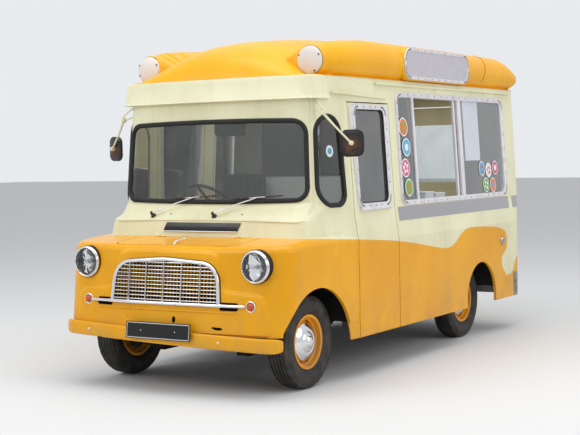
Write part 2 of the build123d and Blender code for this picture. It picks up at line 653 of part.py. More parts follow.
def screen_slab(outer_inset, inner_inset=None):
    """Windscreen outline, or a ring of it, swept through the cab's front."""
    outline = rounded(SCREEN_POINTS, SCREEN_RADII, outer_inset)
    if inner_inset is not None:
        outline = ring(SCREEN_POINTS, SCREEN_RADII, outer_inset, inner_inset)
    return slab(FRONT_PLANE, outline, 0.0, 400.0)


with BuildPart() as windscreen:
    add(front_layer(8.0, 8.0 + GLASS_T))
    add(screen_slab(SEAL_WIDTH - 8.0), mode=Mode.INTERSECT)


def seal_lip(outer, inner, lap):
    """Ring of the windscreen's seal between two depths, from lap inwards."""
    with BuildPart() as lip:
        add(front_layer(outer, inner))
        add(screen_slab(lap, SEAL_WIDTH), mode=Mode.INTERSECT)
    return lip.part


with BuildPart() as screen_seal:
    add(seal_lip(-SEAL_PROUD, 0.0, 0.0))
    add(seal_lip(0.0, WALL, SEAL_LAP))
    add(seal_lip(WALL, WALL + SEAL_PROUD, 0.0))
    add(windscreen.part, mode=Mode.SUBTRACT)
with BuildPart() as quarter_glass:
    add(slab(QUARTER_PLANE, rounded(QUARTER_POINTS, QUARTER_RADII, SEAL_WIDTH - 8.0), -13.0, -8.0))
with BuildPart() as quarter_seal:
    add(slab(QUARTER_PLANE, ring(QUARTER_POINTS, QUARTER_RADII, 0.0, SEAL_WIDTH), 0.0, SEAL_PROUD))
    add(slab(QUARTER_PLANE, ring(QUARTER_POINTS, QUARTER_RADII, SEAL_LAP, SEAL_WIDTH), -WALL - SEAL_PROUD,
             0.0))
    add(quarter_glass.part, mode=Mode.SUBTRACT)
with BuildPart() as window_seals:
    add(screen_seal.part)
    add(quarter_seal.part)
    add(mirrored(quarter_seal.part))
    add(cab_front.part, mode=Mode.SUBTRACT)
save(window_seals.part, "window_seals")
with BuildPart() as cab_glass:
    add(windscreen.part)
    add(quarter_glass.part)
    add(mirrored(quarter_glass.part))
save(cab_glass.part, "cab_glass")

with BuildPart() as rear_door_glass:
    add(body_form(8.0))
    add(body_form(8.0 + GLASS_T, SILL_Z - 10.0, ROOF_BASE_Z + 10.0), mode=Mode.SUBTRACT)
    add(rear_hole, mode=Mode.INTERSECT)
save(rear_door_glass.part, "rear_door_glass")


def turned(profile, plane):
    """Solid of revolution about a plane's Z axis, from a profile of radius and distance along it."""
    with BuildPart() as round_part:
        with BuildSketch(Plane.XZ):
            with BuildLine():
                Polyline(*profile, close=True)
            make_face()
        revolve(axis=Axis.Z)
    return round_part.part.moved(plane.location)


def facing_front(x, y, z):
    """Plane whose Z axis points forward from a point."""
    return Plane(origin=(x, y, z), x_dir=(1, 0, 0), z_dir=(0, -1, 0))


def facing_back(x, y, z):
    """Plane whose Z axis points backward from a point."""
    return Plane(origin=(x, y, z), x_dir=(-1, 0, 0), z_dir=(0, 1, 0))


# Headlamps: bowl and rim seated on the nose, with a domed lens in each
LAMP_X = HALF_WIDTH - 207.0
LAMP_Z = 844.0
LAMP_R = 105.0
LENS_R = 84.0
LAMP_FRONT_Y = FRONT_AXLE_Y - 499.0
nose_solid = nose_form(0)
BOWL_PROFILE = [(0, -90), (96, -90), (98, -22), (LAMP_R, -16), (LAMP_R, -8), (LENS_R + 8, 0), (LENS_R, -3),
                (LENS_R, -12),
                (0, -12)]
LENS_PROFILE = [(0, -12), (LENS_R, -12), (LENS_R, -5), (LENS_R - 26, 5), (LENS_R - 54, 10), (0, 12)]
with BuildPart() as headlamps:
    for x in (-LAMP_X, LAMP_X):
        add(turned(BOWL_PROFILE, facing_front(x, LAMP_FRONT_Y, LAMP_Z)))
    add(nose_solid, mode=Mode.SUBTRACT)
save(headlamps.part, "headlamps")
with BuildPart() as headlamp_lenses:
    for x in (-LAMP_X, LAMP_X):
        add(turned(LENS_PROFILE, facing_front(x, LAMP_FRONT_Y, LAMP_Z)))
save(headlamp_lenses.part, "headlamp_lenses")

# Front indicators: a domed lens in a bright ring
INDICATOR_X = HALF_WIDTH - 234.0
INDICATOR_Z = 593.0
INDICATOR_FRONT_Y = FRONT_AXLE_Y - 528.0
INDICATOR_PROFILE = [(0, -50), (37, -50), (37, -20), (33, -14), (29, -14), (25, -5), (15, 0), (0, 1)]
with BuildPart() as indicators:
    for x in (-INDICATOR_X, INDICATOR_X):
        add(turned(INDICATOR_PROFILE, facing_front(x, INDICATOR_FRONT_Y, INDICATOR_Z)))
    add(nose_solid, mode=Mode.SUBTRACT)
save(indicators.part, "indicators")

# Grille: arched surround and a mesh of bars, all following the nose
GRILLE_POINTS = [(-431.0, 594.0), (431.0, 594.0), (408.0, 862.0), (0.0, 892.0), (-408.0, 862.0)]
GRILLE_RADII = [6.0, 6.0, 110.0, 900.0, 110.0]
SURROUND_WIDTH = 20.0
SURROUND_PROUD = 26.0
BAR_ROWS = 11
BAR_COLUMNS = 5
BAR_W = 5.0
GRILLE_PLANE = Plane(origin=(0, FRONT_AXLE_Y - 300.0, 0), x_dir=(1, 0, 0), z_dir=(0, -1, 0))


def nose_layer(outer, inner, outline):
    """Part of the nose's front between two insets, inside a front view outline."""
    with BuildPart() as layer:
        add(slab(GRILLE_PLANE, outline, 100.0, 400.0))
        add(nose_form(outer), mode=Mode.INTERSECT)
        add(nose_form(inner), mode=Mode.SUBTRACT)
    return layer.part


with BuildSketch() as bar_net:
    with Locations([(0, 594.0 + 300.0 * (row + 1) / (BAR_ROWS + 1)) for row in range(BAR_ROWS)]):
        Rectangle(900.0, BAR_W)
    with Locations([(-431.0 + 862.0 * (column + 1) / (BAR_COLUMNS + 1),
                     745.0) for column in range(BAR_COLUMNS)]):
        Rectangle(BAR_W, 320.0)
    add(rounded(GRILLE_POINTS, GRILLE_RADII, SURROUND_WIDTH), mode=Mode.INTERSECT)
save(nose_layer(-16.0, -11.0, bar_net.sketch), "grille")
with BuildSketch() as bar_area:
    with Locations((0, INDICATOR_Z)):
        Rectangle(2 * INDICATOR_X - 74.0, 18.0)
with BuildPart() as grille_surround:
    add(nose_layer(-SURROUND_PROUD, 0.0, ring(GRILLE_POINTS, GRILLE_RADII, 0.0, SURROUND_WIDTH)))
    add(nose_layer(-SURROUND_PROUD, -10.0, bar_area.sketch))
save(grille_surround.part, "grille_surround")

# Front bumper: one rounded blade bowed across the front, on two brackets
BUMPER_Z = 361.0
BUMPER_H = 96.0
BUMPER_T = 30.0
BUMPER_EDGE_R = 12.0
BUMPER_FRONT_Y = NOSE_FRONT_Y - 46.0
BUMPER_HALF = HALF_WIDTH - 25.0
# Plan of the blade's outer and inner faces: end, middle of the corner bend, start of the bend
BUMPER_OUTER = [(BUMPER_HALF, BUMPER_FRONT_Y + 115.0), (BUMPER_HALF - 34.0, BUMPER_FRONT_Y + 74.0),
                (BUMPER_HALF - 115.0, BUMPER_FRONT_Y + 40.0)]
BUMPER_INNER = [(BUMPER_HALF - BUMPER_T, BUMPER_FRONT_Y + 115.0), (BUMPER_HALF - 55.0, BUMPER_FRONT_Y + 95.0),
                (BUMPER_HALF - 121.0, BUMPER_FRONT_Y + 70.0)]


def bowed_face(points, middle_y):
    """Left bend, long front bow and right bend of one face of the blade, as three arcs."""
    end, corner, bend = points
    ThreePointArc(end, corner, bend)
    ThreePointArc(bend, (0, middle_y), (-bend[0], bend[1]))
    ThreePointArc((-bend[0], bend[1]), (-corner[0], corner[1]), (-end[0], end[1]))


with BuildPart() as blade:
    with BuildSketch(Plane.XY.offset(BUMPER_Z - BUMPER_H / 2)):
        with BuildLine():
            bowed_face(BUMPER_OUTER, BUMPER_FRONT_Y)
            Line((-BUMPER_OUTER[0][0], BUMPER_OUTER[0][1]), (-BUMPER_INNER[0][0], BUMPER_INNER[0][1]))
            bowed_face(BUMPER_INNER, BUMPER_FRONT_Y + BUMPER_T)
            Line(BUMPER_INNER[0], BUMPER_OUTER[0])
        make_face()
    extrude(amount=BUMPER_H)
    rims = blade.faces().filter_by(Axis.Z).edges()
    fillet(rims.filter_by(lambda e: e.center().Y < BUMPER_FRONT_Y + 5.0
                          or abs(e.center().X) > BUMPER_HALF - 38.0),
           BUMPER_EDGE_R)
with BuildPart() as front_bumper:
    add(blade.part)
    for x in (-RAIL_X, RAIL_X):
        add(block(x - 20.0, x + 20.0, BUMPER_FRONT_Y + 25.0, NOSE_FRONT_Y + 102.0, BUMPER_Z - 30.0,
                  BUMPER_Z + 30.0))
        add(block(x - 20.0, x + 20.0, NOSE_FRONT_Y + 72.0, NOSE_FRONT_Y + 102.0, BUMPER_Z - 30.0, RAIL_LOW_Z))
save(front_bumper.part, "front_bumper")

# Number plates, plain: one on the bumper with its foot pushed forward, one on the rear step
PLATE_LENGTH = 520.0
PLATE_HEIGHT = 112.0
PLATE_T = 5.0
PLATE_Z = 417.0
PLATE_FOOT = 0.12
front_plate_plane = Plane(origin=(0, BUMPER_FRONT_Y - 12.0, PLATE_Z), x_dir=(1, 0, 0),
                          z_dir=(0, -1, PLATE_FOOT))
with BuildSketch() as plate_outline:
    RectangleRounded(PLATE_LENGTH, PLATE_HEIGHT, 6.0)
with BuildPart() as front_feet:
    for x in (-180.0, 180.0):
        add(block(x - 15.0, x + 15.0, BUMPER_FRONT_Y - 30.0, BUMPER_FRONT_Y + 20.0, BUMPER_Z + 14.0,
                  BUMPER_Z + 40.0))
    add(front_bumper.part, mode=Mode.SUBTRACT)
    add(slab(front_plate_plane, plate_outline.sketch, 0.0, 60.0), mode=Mode.SUBTRACT)
with BuildPart() as rear_plate:
    add(slab(facing_back(0, section_at(RAIL_LOW_Z)[2] + 2.0, RAIL_LOW_Z - 25.0), plate_outline.sketch, 0.0,
             PLATE_T))
    add(block(-200.0, 200.0, BODY_REAR_Y - 130.0, section_at(RAIL_LOW_Z)[2] + 3.0, RAIL_LOW_Z - 50.0,
              RAIL_LOW_Z))
    add(body_form(0), mode=Mode.SUBTRACT)
with BuildPart() as number_plates:
    add(slab(front_plate_plane, plate_outline.sketch, 0.0, PLATE_T))
    add(front_feet.part)
    add(rear_plate.part)
save(number_plates.part, "number_plates")

# Tail lamps: two round lenses on each rear corner
TAIL_PROFILE = [(0, -40), (38, -40), (38, 2), (34, 8), (28, 16), (14, 21), (0, 22)]
TAIL_LAMP_X = HALF_WIDTH - 190.0
TAIL_LAMP_ZS = [640.0, 740.0]
with BuildPart() as tail_lamps:
    for z in TAIL_LAMP_ZS:
        for x in (-TAIL_LAMP_X, TAIL_LAMP_X):
            add(turned(TAIL_PROFILE, facing_back(x, section_at(z)[2], z)))
    add(body_form(0), mode=Mode.SUBTRACT)
save(tail_lamps.part, "tail_lamps")

# Roof lamps: a white dome on the front of each pod
DOME_PROFILE = [(0, 0), (98, 0), (98, 6), (90, 26), (72, 45), (44, 57), (0, 62)]
with BuildPart() as roof_lamps:
    lamp_y, lamp_x, lamp_rise = POD_SECTIONS[0][:3]
    for x in (-lamp_x, lamp_x):
        add(turned(DOME_PROFILE, facing_front(x, lamp_y, ROOF_BASE_Z + lamp_rise)))
    add(roof.part, mode=Mode.SUBTRACT)
    add(body_form(0), mode=Mode.SUBTRACT)
save(roof_lamps.part, "roof_lamps")

# Roof signs: a plain stadium-ended panel on each pod
SIGN_FRONT_Y = FRONT_AXLE_Y + 1357.0
SIGN_REAR_Y = SIGN_FRONT_Y + 1196.0
SIGN_LOW_Z = ROOF_BASE_Z + 12.0
SIGN_HIGH_Z = ROOF_BASE_Z + 250.0
SIGN_POINTS = [(SIGN_FRONT_Y, SIGN_LOW_Z), (SIGN_REAR_Y, SIGN_LOW_Z), (SIGN_REAR_Y, SIGN_HIGH_Z),
               (SIGN_FRONT_Y, SIGN_HIGH_Z)]
SIGN_RADII = [92.0] * 4
SIGN_PLANE = Plane.YZ.offset(POD_OUT_X - 6.0)
with BuildPart() as sign:
    add(slab(SIGN_PLANE, rounded(SIGN_POINTS, SIGN_RADII), -14.0, 14.0))
    add(slab(SIGN_PLANE, ring(SIGN_POINTS, SIGN_RADII, 0.0, 16.0), 13.0, 19.0))
    add(left_pod, mode=Mode.SUBTRACT)
with BuildPart() as roof_signs:
    add(sign.part)
    add(mirrored(sign.part))
save(roof_signs.part, "roof_signs")

# Bright trim: polished strip under the hatch, round the rear corner, and the fuel cap
STRIP_LOW_Z = 1050.0
STRIP_HIGH_Z = 1150.0
STRIP_T = 2.5
STRIP_SPANS = [(DOOR_REAR_Y + 45.0, REAR_SPLIT_Y - 82.0), (REAR_SPLIT_Y + 3.0, FAR)]
CAP_Y = REAR_AXLE_Y + 457.0
CAP_Z = 776.0
with BuildPart() as strip_room:
    for y0, y1 in STRIP_SPANS:
        add(block(REAR_DOOR_HALF + 25.0, FAR, y0, y1, STRIP_LOW_Z, STRIP_HIGH_Z))
with BuildPart() as strips:
    add(body_form(-STRIP_T))
    add(body_form(0, SILL_Z - 10.0, ROOF_BASE_Z + 10.0), mode=Mode.SUBTRACT)
    add(strip_room.part, mode=Mode.INTERSECT)
CAP_PROFILE = [(0, 0), (34, 0), (34, 6), (30, 14), (24, 18), (0, 20)]
with BuildPart() as bright_trim:
    add(strips.part)
    add(mirrored(strips.part))
    add(turned(CAP_PROFILE, Plane(origin=(HALF_WIDTH, CAP_Y, CAP_Z), x_dir=(0, 1, 0), z_dir=(1, 0, 0))))
save(bright_trim.part, "bright_trim")

# Mirrors: a bent arm from the cab's corner to a rounded square head, on each side
MIRROR_ROOT = (HALF_WIDTH - 128.0, FRONT_AXLE_Y + 127.0, 1866.0)
MIRROR_ELBOW = (HALF_WIDTH - 60.0, FRONT_AXLE_Y + 132.0, 1835.0)
MIRROR_HEAD = (HALF_WIDTH + 105.0, FRONT_AXLE_Y + 229.0, 1615.0)
MIRROR_PLANE = Plane(origin=MIRROR_HEAD, x_dir=(1, 0.35, 0), z_dir=(0.35, -1, 0))
with BuildPart() as mirror_head:
    with BuildSketch(MIRROR_PLANE):
        RectangleRounded(158.0, 178.0, 42.0)
    extrude(amount=30.0)
    chamfer(mirror_head.faces().sort_by(Axis((0, 0, 0), (-0.35, 1, 0)))[0].edges(), 9.0)
with BuildPart() as mirror_left:
    add(rod(MIRROR_ROOT, MIRROR_ELBOW, 8.0))
    add(rod(MIRROR_ELBOW, MIRROR_HEAD, 7.0))
    add(mirror_head.part)
    add(body_form(0), mode=Mode.SUBTRACT)
with BuildPart() as mirrors:
    add(mirror_left.part)
    add(mirrored(mirror_left.part))
save(mirrors.part, "mirrors")

# Wipers: arm and blade, parked to the truck's left
WIPER_PIVOT_XS = [-444.0, 86.0]
WIPER_SWEEP_X = 300.0
WIPER_TIP_Z = 1262.0
BLADE_HALF = 190.0


def on_screen(x, z, out):
    """Point in front of the cab's bowed face at a place across and a height."""
    half_width, front = section_at(z)[:2]
    return (x, front - CAB_FRONT_BOW * (1 - (x / half_width) ** 2) - out, z)


with BuildPart() as wipers:
    for x in WIPER_PIVOT_XS:
        pivot = on_screen(x, SHELF_Z + 2.0, 30.0)
        tip_x = x + WIPER_SWEEP_X
        tip = on_screen(tip_x, WIPER_TIP_Z, 16.0)
        add(rod(on_screen(x, SHELF_Z + 2.0, -14.0), pivot, 11.0))
        add(rod(pivot, tip, 4.0))
        add(rod(on_screen(tip_x - BLADE_HALF, WIPER_TIP_Z - 12.0, 8.0),
                on_screen(tip_x + BLADE_HALF, WIPER_TIP_Z + 12.0, 8.0),
                5.0))
        add(rod(tip, on_screen(tip_x, WIPER_TIP_Z, 5.0), 4.0))
    add(body_form(0), mode=Mode.SUBTRACT)
    add(window_seals.part, mode=Mode.SUBTRACT)
save(wipers.part, "wipers")

# Rolling gear shared sizes: where things lie along a wheel's own axis, from the middle of its tread
PLATE_OUT = -49.0
PLATE_T_IN = 8.0
STUB_END = 20.0
DRUM_IN = -43.0
DRUM_R = 112.0

# Chassis: two rails stepped down at the rear, and the cross-members between them
RAIL_FRONT_Y = NOSE_FRONT_Y + 72.0
RAIL_TAIL_Y = BODY_REAR_Y - 140.0
RAIL_TAIL_Z = STEP_TOP_Z - 30.0
RAIL_INNER = RAIL_X - RAIL_WIDTH / 2
RAIL_OUTER = RAIL_X + RAIL_WIDTH / 2
CROSS_LOW_Z = RAIL_LOW_Z + 20.0
CROSS_WIDTH = 44.0
CROSS_YS = [RAIL_FRONT_Y + 50.0, DOOR_FRONT_Y + 172.0, REAR_AXLE_Y - 684.0, STEP_FRONT_Y - 60.0]
with BuildPart() as chassis_frame:
    for side in (-1, 1):
        x0, x1 = sorted((side * RAIL_INNER, side * RAIL_OUTER))
        add(block(x0, x1, RAIL_FRONT_Y, STEP_FRONT_Y - 7.0, RAIL_LOW_Z, FLOOR_Z))
        add(block(x0, x1, STEP_FRONT_Y - 7.0, RAIL_TAIL_Y, RAIL_LOW_Z, RAIL_TAIL_Z))
    for y in CROSS_YS:
        add(block(-RAIL_X, RAIL_X, y - CROSS_WIDTH / 2, y + CROSS_WIDTH / 2, CROSS_LOW_Z, FLOOR_Z - 10.0))
save(chassis_frame.part, "chassis_frame")

# Front suspension: cross-member, wishbones with eyes on the kingpins, springs and their upper brackets
WISHBONE_ROOT_X = RAIL_OUTER + 8.5
WISHBONE_SPREAD = 130.0
WISHBONE_ROD_R = 9.0
EYE_R = 20.0
EYE_HALF = 10.0
SPRING_X = KINGPIN_X - 105.0
SPRING_R = 42.0
SPRING_COILS = 6
SPRING_TOP_Z = RAIL_LOW_Z + 30.0
SPRING_LOW_Z = KINGPIN_LOW_Z + WISHBONE_ROD_R
coil_pitch = (SPRING_TOP_Z - SPRING_LOW_Z) / SPRING_COILS
SPRING_PROFILE = [(0.0, 0.0)]
for coil in range(SPRING_COILS):
    SPRING_PROFILE += [(SPRING_R - 14.0, coil * coil_pitch), (SPRING_R, (coil + 0.3) * coil_pitch),
                       (SPRING_R, (coil + 0.7) * coil_pitch)]
SPRING_PROFILE += [(SPRING_R - 14.0, SPRING_COILS * coil_pitch), (0.0, SPRING_COILS * coil_pitch)]
with BuildPart() as suspension_left:
    add(block(0, RAIL_OUTER, FRONT_AXLE_Y - 45.0, FRONT_AXLE_Y + 45.0, RAIL_LOW_Z - 80.0, RAIL_LOW_Z))
    add(block(RAIL_INNER - 30.0, RAIL_OUTER, FRONT_AXLE_Y - 150.0, FRONT_AXLE_Y + 150.0, KINGPIN_LOW_Z - 20.0,
              RAIL_LOW_Z - 79.0))
    add(block(RAIL_OUTER, RAIL_OUTER + 14.0, FRONT_AXLE_Y - 150.0, FRONT_AXLE_Y + 150.0, KINGPIN_LOW_Z - 20.0,
              KINGPIN_HIGH_Z + 12.0))
    add(block(RAIL_OUTER, SPRING_X + 50.0, FRONT_AXLE_Y - 50.0, FRONT_AXLE_Y + 50.0, SPRING_TOP_Z,
              SPRING_TOP_Z + 16.0))
    add(block(SPRING_X - 45.0, SPRING_X + 45.0, FRONT_AXLE_Y - 85.0, FRONT_AXLE_Y + 85.0, SPRING_LOW_Z - 10.0,
              SPRING_LOW_Z))
    add(turned(SPRING_PROFILE, Plane.XY.offset(SPRING_LOW_Z)).moved(Location((SPRING_X, FRONT_AXLE_Y, 0))))
    for z in (KINGPIN_LOW_Z, KINGPIN_HIGH_Z):
        for spread in (-WISHBONE_SPREAD, WISHBONE_SPREAD):
            add(rod((WISHBONE_ROOT_X, FRONT_AXLE_Y + spread, z), (KINGPIN_X, FRONT_AXLE_Y, z),
                    WISHBONE_ROD_R))
        add(rod((KINGPIN_X, FRONT_AXLE_Y, z - EYE_HALF), (KINGPIN_X, FRONT_AXLE_Y, z + EYE_HALF), EYE_R))
    add(rod((KINGPIN_X, FRONT_AXLE_Y, 0), (KINGPIN_X, FRONT_AXLE_Y, FLOOR_Z), KINGPIN_R + RUN_FIT),
        mode=Mode.SUBTRACT)
with BuildPart() as front_suspension:
    add(suspension_left.part)
    add(mirrored(suspension_left.part))
save(front_suspension.part, "front_suspension")

# Knuckles: kingpin, upright, backing plate and stub axle in one forging
KNUCKLE_BODY_R = 26.0
BACKING_R = 120.0
with BuildPart() as knuckle_left:
    add(rod((KINGPIN_X, FRONT_AXLE_Y, KINGPIN_LOW_Z - EYE_HALF),
            (KINGPIN_X, FRONT_AXLE_Y, KINGPIN_HIGH_Z + EYE_HALF),
            KINGPIN_R))
    add(rod((KINGPIN_X, FRONT_AXLE_Y, KINGPIN_LOW_Z + EYE_HALF + 3.0),
            (KINGPIN_X, FRONT_AXLE_Y, KINGPIN_HIGH_Z - EYE_HALF - 3.0), KNUCKLE_BODY_R))
    add(rod((FRONT_TRACK_X + PLATE_OUT - PLATE_T_IN, FRONT_AXLE_Y, AXLE_Z),
            (FRONT_TRACK_X + PLATE_OUT, FRONT_AXLE_Y, AXLE_Z),
            BACKING_R))
    add(rod((KINGPIN_X, FRONT_AXLE_Y, AXLE_Z), (FRONT_TRACK_X + PLATE_OUT, FRONT_AXLE_Y, AXLE_Z),
            KNUCKLE_BODY_R))
    add(rod((KINGPIN_X, FRONT_AXLE_Y, AXLE_Z), (FRONT_TRACK_X + STUB_END, FRONT_AXLE_Y, AXLE_Z), STUB_R))
save(knuckle_left.part, "knuckle_left")
save(mirrored(knuckle_left.part), "knuckle_right")

# Wheels: dished rim, disc, hub and drum in one piece, and a tyre on each
HUB_R = 38.0
HUB_END = 27.0
CAP_R = 78.0
DISC_FACE = 34.0
# Rim and disc outline as radius and distance outwards
RIM_PROFILE = [(RIM_FLANGE_R, -RIM_HALF_WIDTH), (RIM_FLANGE_R, 5.0 - RIM_HALF_WIDTH),
               (BEAD_R, 8.0 - RIM_HALF_WIDTH),
               (BEAD_R - 3.0, -30.0), (BEAD_R - 18.0, -20.0), (BEAD_R - 18.0, 20.0), (BEAD_R - 3.0, 30.0),
               (BEAD_R, RIM_HALF_WIDTH - 8.0), (RIM_FLANGE_R, RIM_HALF_WIDTH - 5.0),
               (RIM_FLANGE_R, RIM_HALF_WIDTH),
               (RIM_FLANGE_R - 5.0, RIM_HALF_WIDTH), (BEAD_R - 5.0, RIM_HALF_WIDTH - 3.0),
               (BEAD_R - 8.0, 33.0),
               (BEAD_R - 23.0, 24.0), (BEAD_R - 23.0, -24.0), (BEAD_R - 8.0, -33.0),
               (BEAD_R - 5.0, 3.0 - RIM_HALF_WIDTH),
               (RIM_FLANGE_R - 5.0, -RIM_HALF_WIDTH)]
DISC_PROFILE = [(BEAD_R - 21.0, 2.0), (BEAD_R - 21.0, 12.0), (DRUM_R + 6.0, DISC_FACE),
                (CAP_R - 8.0, DISC_FACE),
                (CAP_R - 16.0, HUB_END), (0, HUB_END), (0, HUB_END - 6.0), (CAP_R - 14.0, HUB_END - 6.0),
                (CAP_R - 6.0, DISC_FACE - 6.0), (DRUM_R + 3.0, DISC_FACE - 6.0)]
DRUM_PROFILE = [(DRUM_R - 7.0, DRUM_IN), (DRUM_R, DRUM_IN), (DRUM_R, DISC_FACE - 3.0),
                (DRUM_R - 7.0, DISC_FACE - 3.0)]
HUB_PROFILE = [(STUB_R + RUN_FIT, DRUM_IN), (HUB_R, DRUM_IN), (HUB_R, HUB_END - 3.0),
               (STUB_R + RUN_FIT, HUB_END - 3.0)]
CAP_DOME = [(0, HUB_END - 3.0), (CAP_R, DISC_FACE - 0.5), (CAP_R, DISC_FACE + 5.0),
            (CAP_R - 14.0, DISC_FACE + 12.0),
            (CAP_R - 32.0, DISC_FACE + 14.0), (CAP_R - 38.0, DISC_FACE + 22.0), (0, DISC_FACE + 26.0)]
TREAD_HALF = TYRE_WIDTH / 2 - 14.0
BEAD_HALF = RIM_HALF_WIDTH - 9.0
TYRE_T = 11.0
with BuildPart() as wheel:
    for profile in (RIM_PROFILE, DISC_PROFILE, DRUM_PROFILE, HUB_PROFILE, CAP_DOME):
        add(turned(profile, Plane.XY))
with BuildPart() as tyre:
    with BuildSketch(Plane.XZ):
        with BuildLine():
            ThreePointArc((RIM_FLANGE_R + 3.0, BEAD_HALF), (TYRE_R - 66.0, TYRE_WIDTH / 2),
                          (TYRE_R - 8.0, TREAD_HALF))
            ThreePointArc((TYRE_R - 8.0, TREAD_HALF), (TYRE_R, 0), (TYRE_R - 8.0, -TREAD_HALF))
            ThreePointArc((TYRE_R - 8.0, -TREAD_HALF), (TYRE_R - 66.0, -TYRE_WIDTH / 2),
                          (RIM_FLANGE_R + 3.0, -BEAD_HALF))
            Polyline((RIM_FLANGE_R + 3.0, -BEAD_HALF), (BEAD_R + 0.3, -BEAD_HALF),
                     (BEAD_R + 0.3, TYRE_T - BEAD_HALF),
                     (RIM_FLANGE_R + 8.0, TYRE_T - BEAD_HALF))
            ThreePointArc((RIM_FLANGE_R + 8.0, TYRE_T - BEAD_HALF), (TYRE_R - 68.0, TYRE_T - TYRE_WIDTH / 2),
                          (TYRE_R - 8.0 - TYRE_T, TYRE_T - TREAD_HALF))
            Line((TYRE_R - 8.0 - TYRE_T, TYRE_T - TREAD_HALF), (TYRE_R - 8.0 - TYRE_T, TREAD_HALF - TYRE_T))
            ThreePointArc((TYRE_R - 8.0 - TYRE_T, TREAD_HALF - TYRE_T),
                          (TYRE_R - 68.0, TYRE_WIDTH / 2 - TYRE_T),
                          (RIM_FLANGE_R + 8.0, BEAD_HALF - TYRE_T))
            Polyline((RIM_FLANGE_R + 8.0, BEAD_HALF - TYRE_T), (BEAD_R + 0.3, BEAD_HALF - TYRE_T),
                     (BEAD_R + 0.3, BEAD_HALF),
                     (RIM_FLANGE_R + 3.0, BEAD_HALF))
        make_face()
    revolve(axis=Axis.Z)
WHEEL_PLACES = [
    # name, across, along, side
    ("front_left", FRONT_TRACK_X, FRONT_AXLE_Y, 1),
    ("front_right", -FRONT_TRACK_X, FRONT_AXLE_Y, -1),
    ("rear_left", REAR_TRACK_X, REAR_AXLE_Y, 1),
    ("rear_right", -REAR_TRACK_X, REAR_AXLE_Y, -1),
]
for corner, x, y, side in WHEEL_PLACES:
    place = Plane(origin=(x, y, AXLE_Z), x_dir=(0, 1, 0), z_dir=(side, 0, 0)).location
    save(wheel.part.moved(place), "wheel_" + corner)
    save(tyre.part.moved(place), "tyre_" + corner)

# Rear axle: tube, differential, brake plates, spindles and the shaft from the gearbox
GEARBOX_R = 110.0
GEARBOX_Z = 370.0
GEARBOX_END_Y = DOOR_FRONT_Y + 112.0
DIFF_R = 112.0
SHAFT_R = 26.0
LEAF_X = REAR_TRACK_X - 180.0
LEAF_HALF_W = 25.0
LEAF_SEAT_Z = AXLE_Z + 42.0
DIFF_PROFILE = [(0, -DIFF_R), (DIFF_R * 0.55, -DIFF_R * 0.9), (DIFF_R, -DIFF_R * 0.35),
                (DIFF_R, DIFF_R * 0.35),
                (DIFF_R * 0.55, DIFF_R * 0.9), (0, DIFF_R)]
with BuildPart() as half_axle:
    plate_x = REAR_TRACK_X + PLATE_OUT
    add(rod((0, REAR_AXLE_Y, AXLE_Z), (plate_x, REAR_AXLE_Y, AXLE_Z), AXLE_TUBE_R))
    add(rod((plate_x - PLATE_T_IN, REAR_AXLE_Y, AXLE_Z), (plate_x, REAR_AXLE_Y, AXLE_Z), BACKING_R))
    add(rod((plate_x - 1.0, REAR_AXLE_Y, AXLE_Z), (REAR_TRACK_X + STUB_END, REAR_AXLE_Y, AXLE_Z), STUB_R))
    add(block(LEAF_X - LEAF_HALF_W, LEAF_X + LEAF_HALF_W, REAR_AXLE_Y - 45.0, REAR_AXLE_Y + 45.0, AXLE_Z,
              LEAF_SEAT_Z))
with BuildPart() as rear_axle:
    add(half_axle.part)
    add(mirrored(half_axle.part))
    add(turned(DIFF_PROFILE, Plane(origin=(0, REAR_AXLE_Y, AXLE_Z), x_dir=(0, 1, 0), z_dir=(1, 0, 0))))
    add(rod((0, REAR_AXLE_Y, AXLE_Z + 4.0), (0, REAR_AXLE_Y - 190.0, AXLE_Z + 12.0), SHAFT_R + 20.0))
    add(rod((0, REAR_AXLE_Y - 180.0, AXLE_Z + 12.0), (0, GEARBOX_END_Y + 2.0, GEARBOX_Z), SHAFT_R))
save(rear_axle.part, "rear_axle")

# Leaf springs: a stack of bowed leaves on each side, hung from the rails at both ends
LEAF_T = 8.0
LEAF_RISE = 62.0
LEAF_HALF_LENGTH = 560.0
LEAF_COUNT = 3


def leaf(half_length, low_z):
    """One bowed leaf, side on, extruded across."""
    rise = LEAF_RISE * (half_length / LEAF_HALF_LENGTH) ** 2
    with BuildPart() as bowed:
        with BuildSketch(Plane.YZ.offset(LEAF_X - LEAF_HALF_W)):
            with BuildLine():
                ThreePointArc((REAR_AXLE_Y - half_length, low_z + rise), (REAR_AXLE_Y, low_z),
                              (REAR_AXLE_Y + half_length, low_z + rise))
                Line((REAR_AXLE_Y + half_length, low_z + rise),
                     (REAR_AXLE_Y + half_length, low_z + rise + LEAF_T + 0.5))
                ThreePointArc((REAR_AXLE_Y + half_length, low_z + rise + LEAF_T + 0.5),
                              (REAR_AXLE_Y, low_z + LEAF_T + 0.5),
                              (REAR_AXLE_Y - half_length, low_z + rise + LEAF_T + 0.5))
                Line((REAR_AXLE_Y - half_length, low_z + rise + LEAF_T + 0.5),
                     (REAR_AXLE_Y - half_length, low_z + rise))
            make_face()
        extrude(amount=2 * LEAF_HALF_W)
    return bowed.part


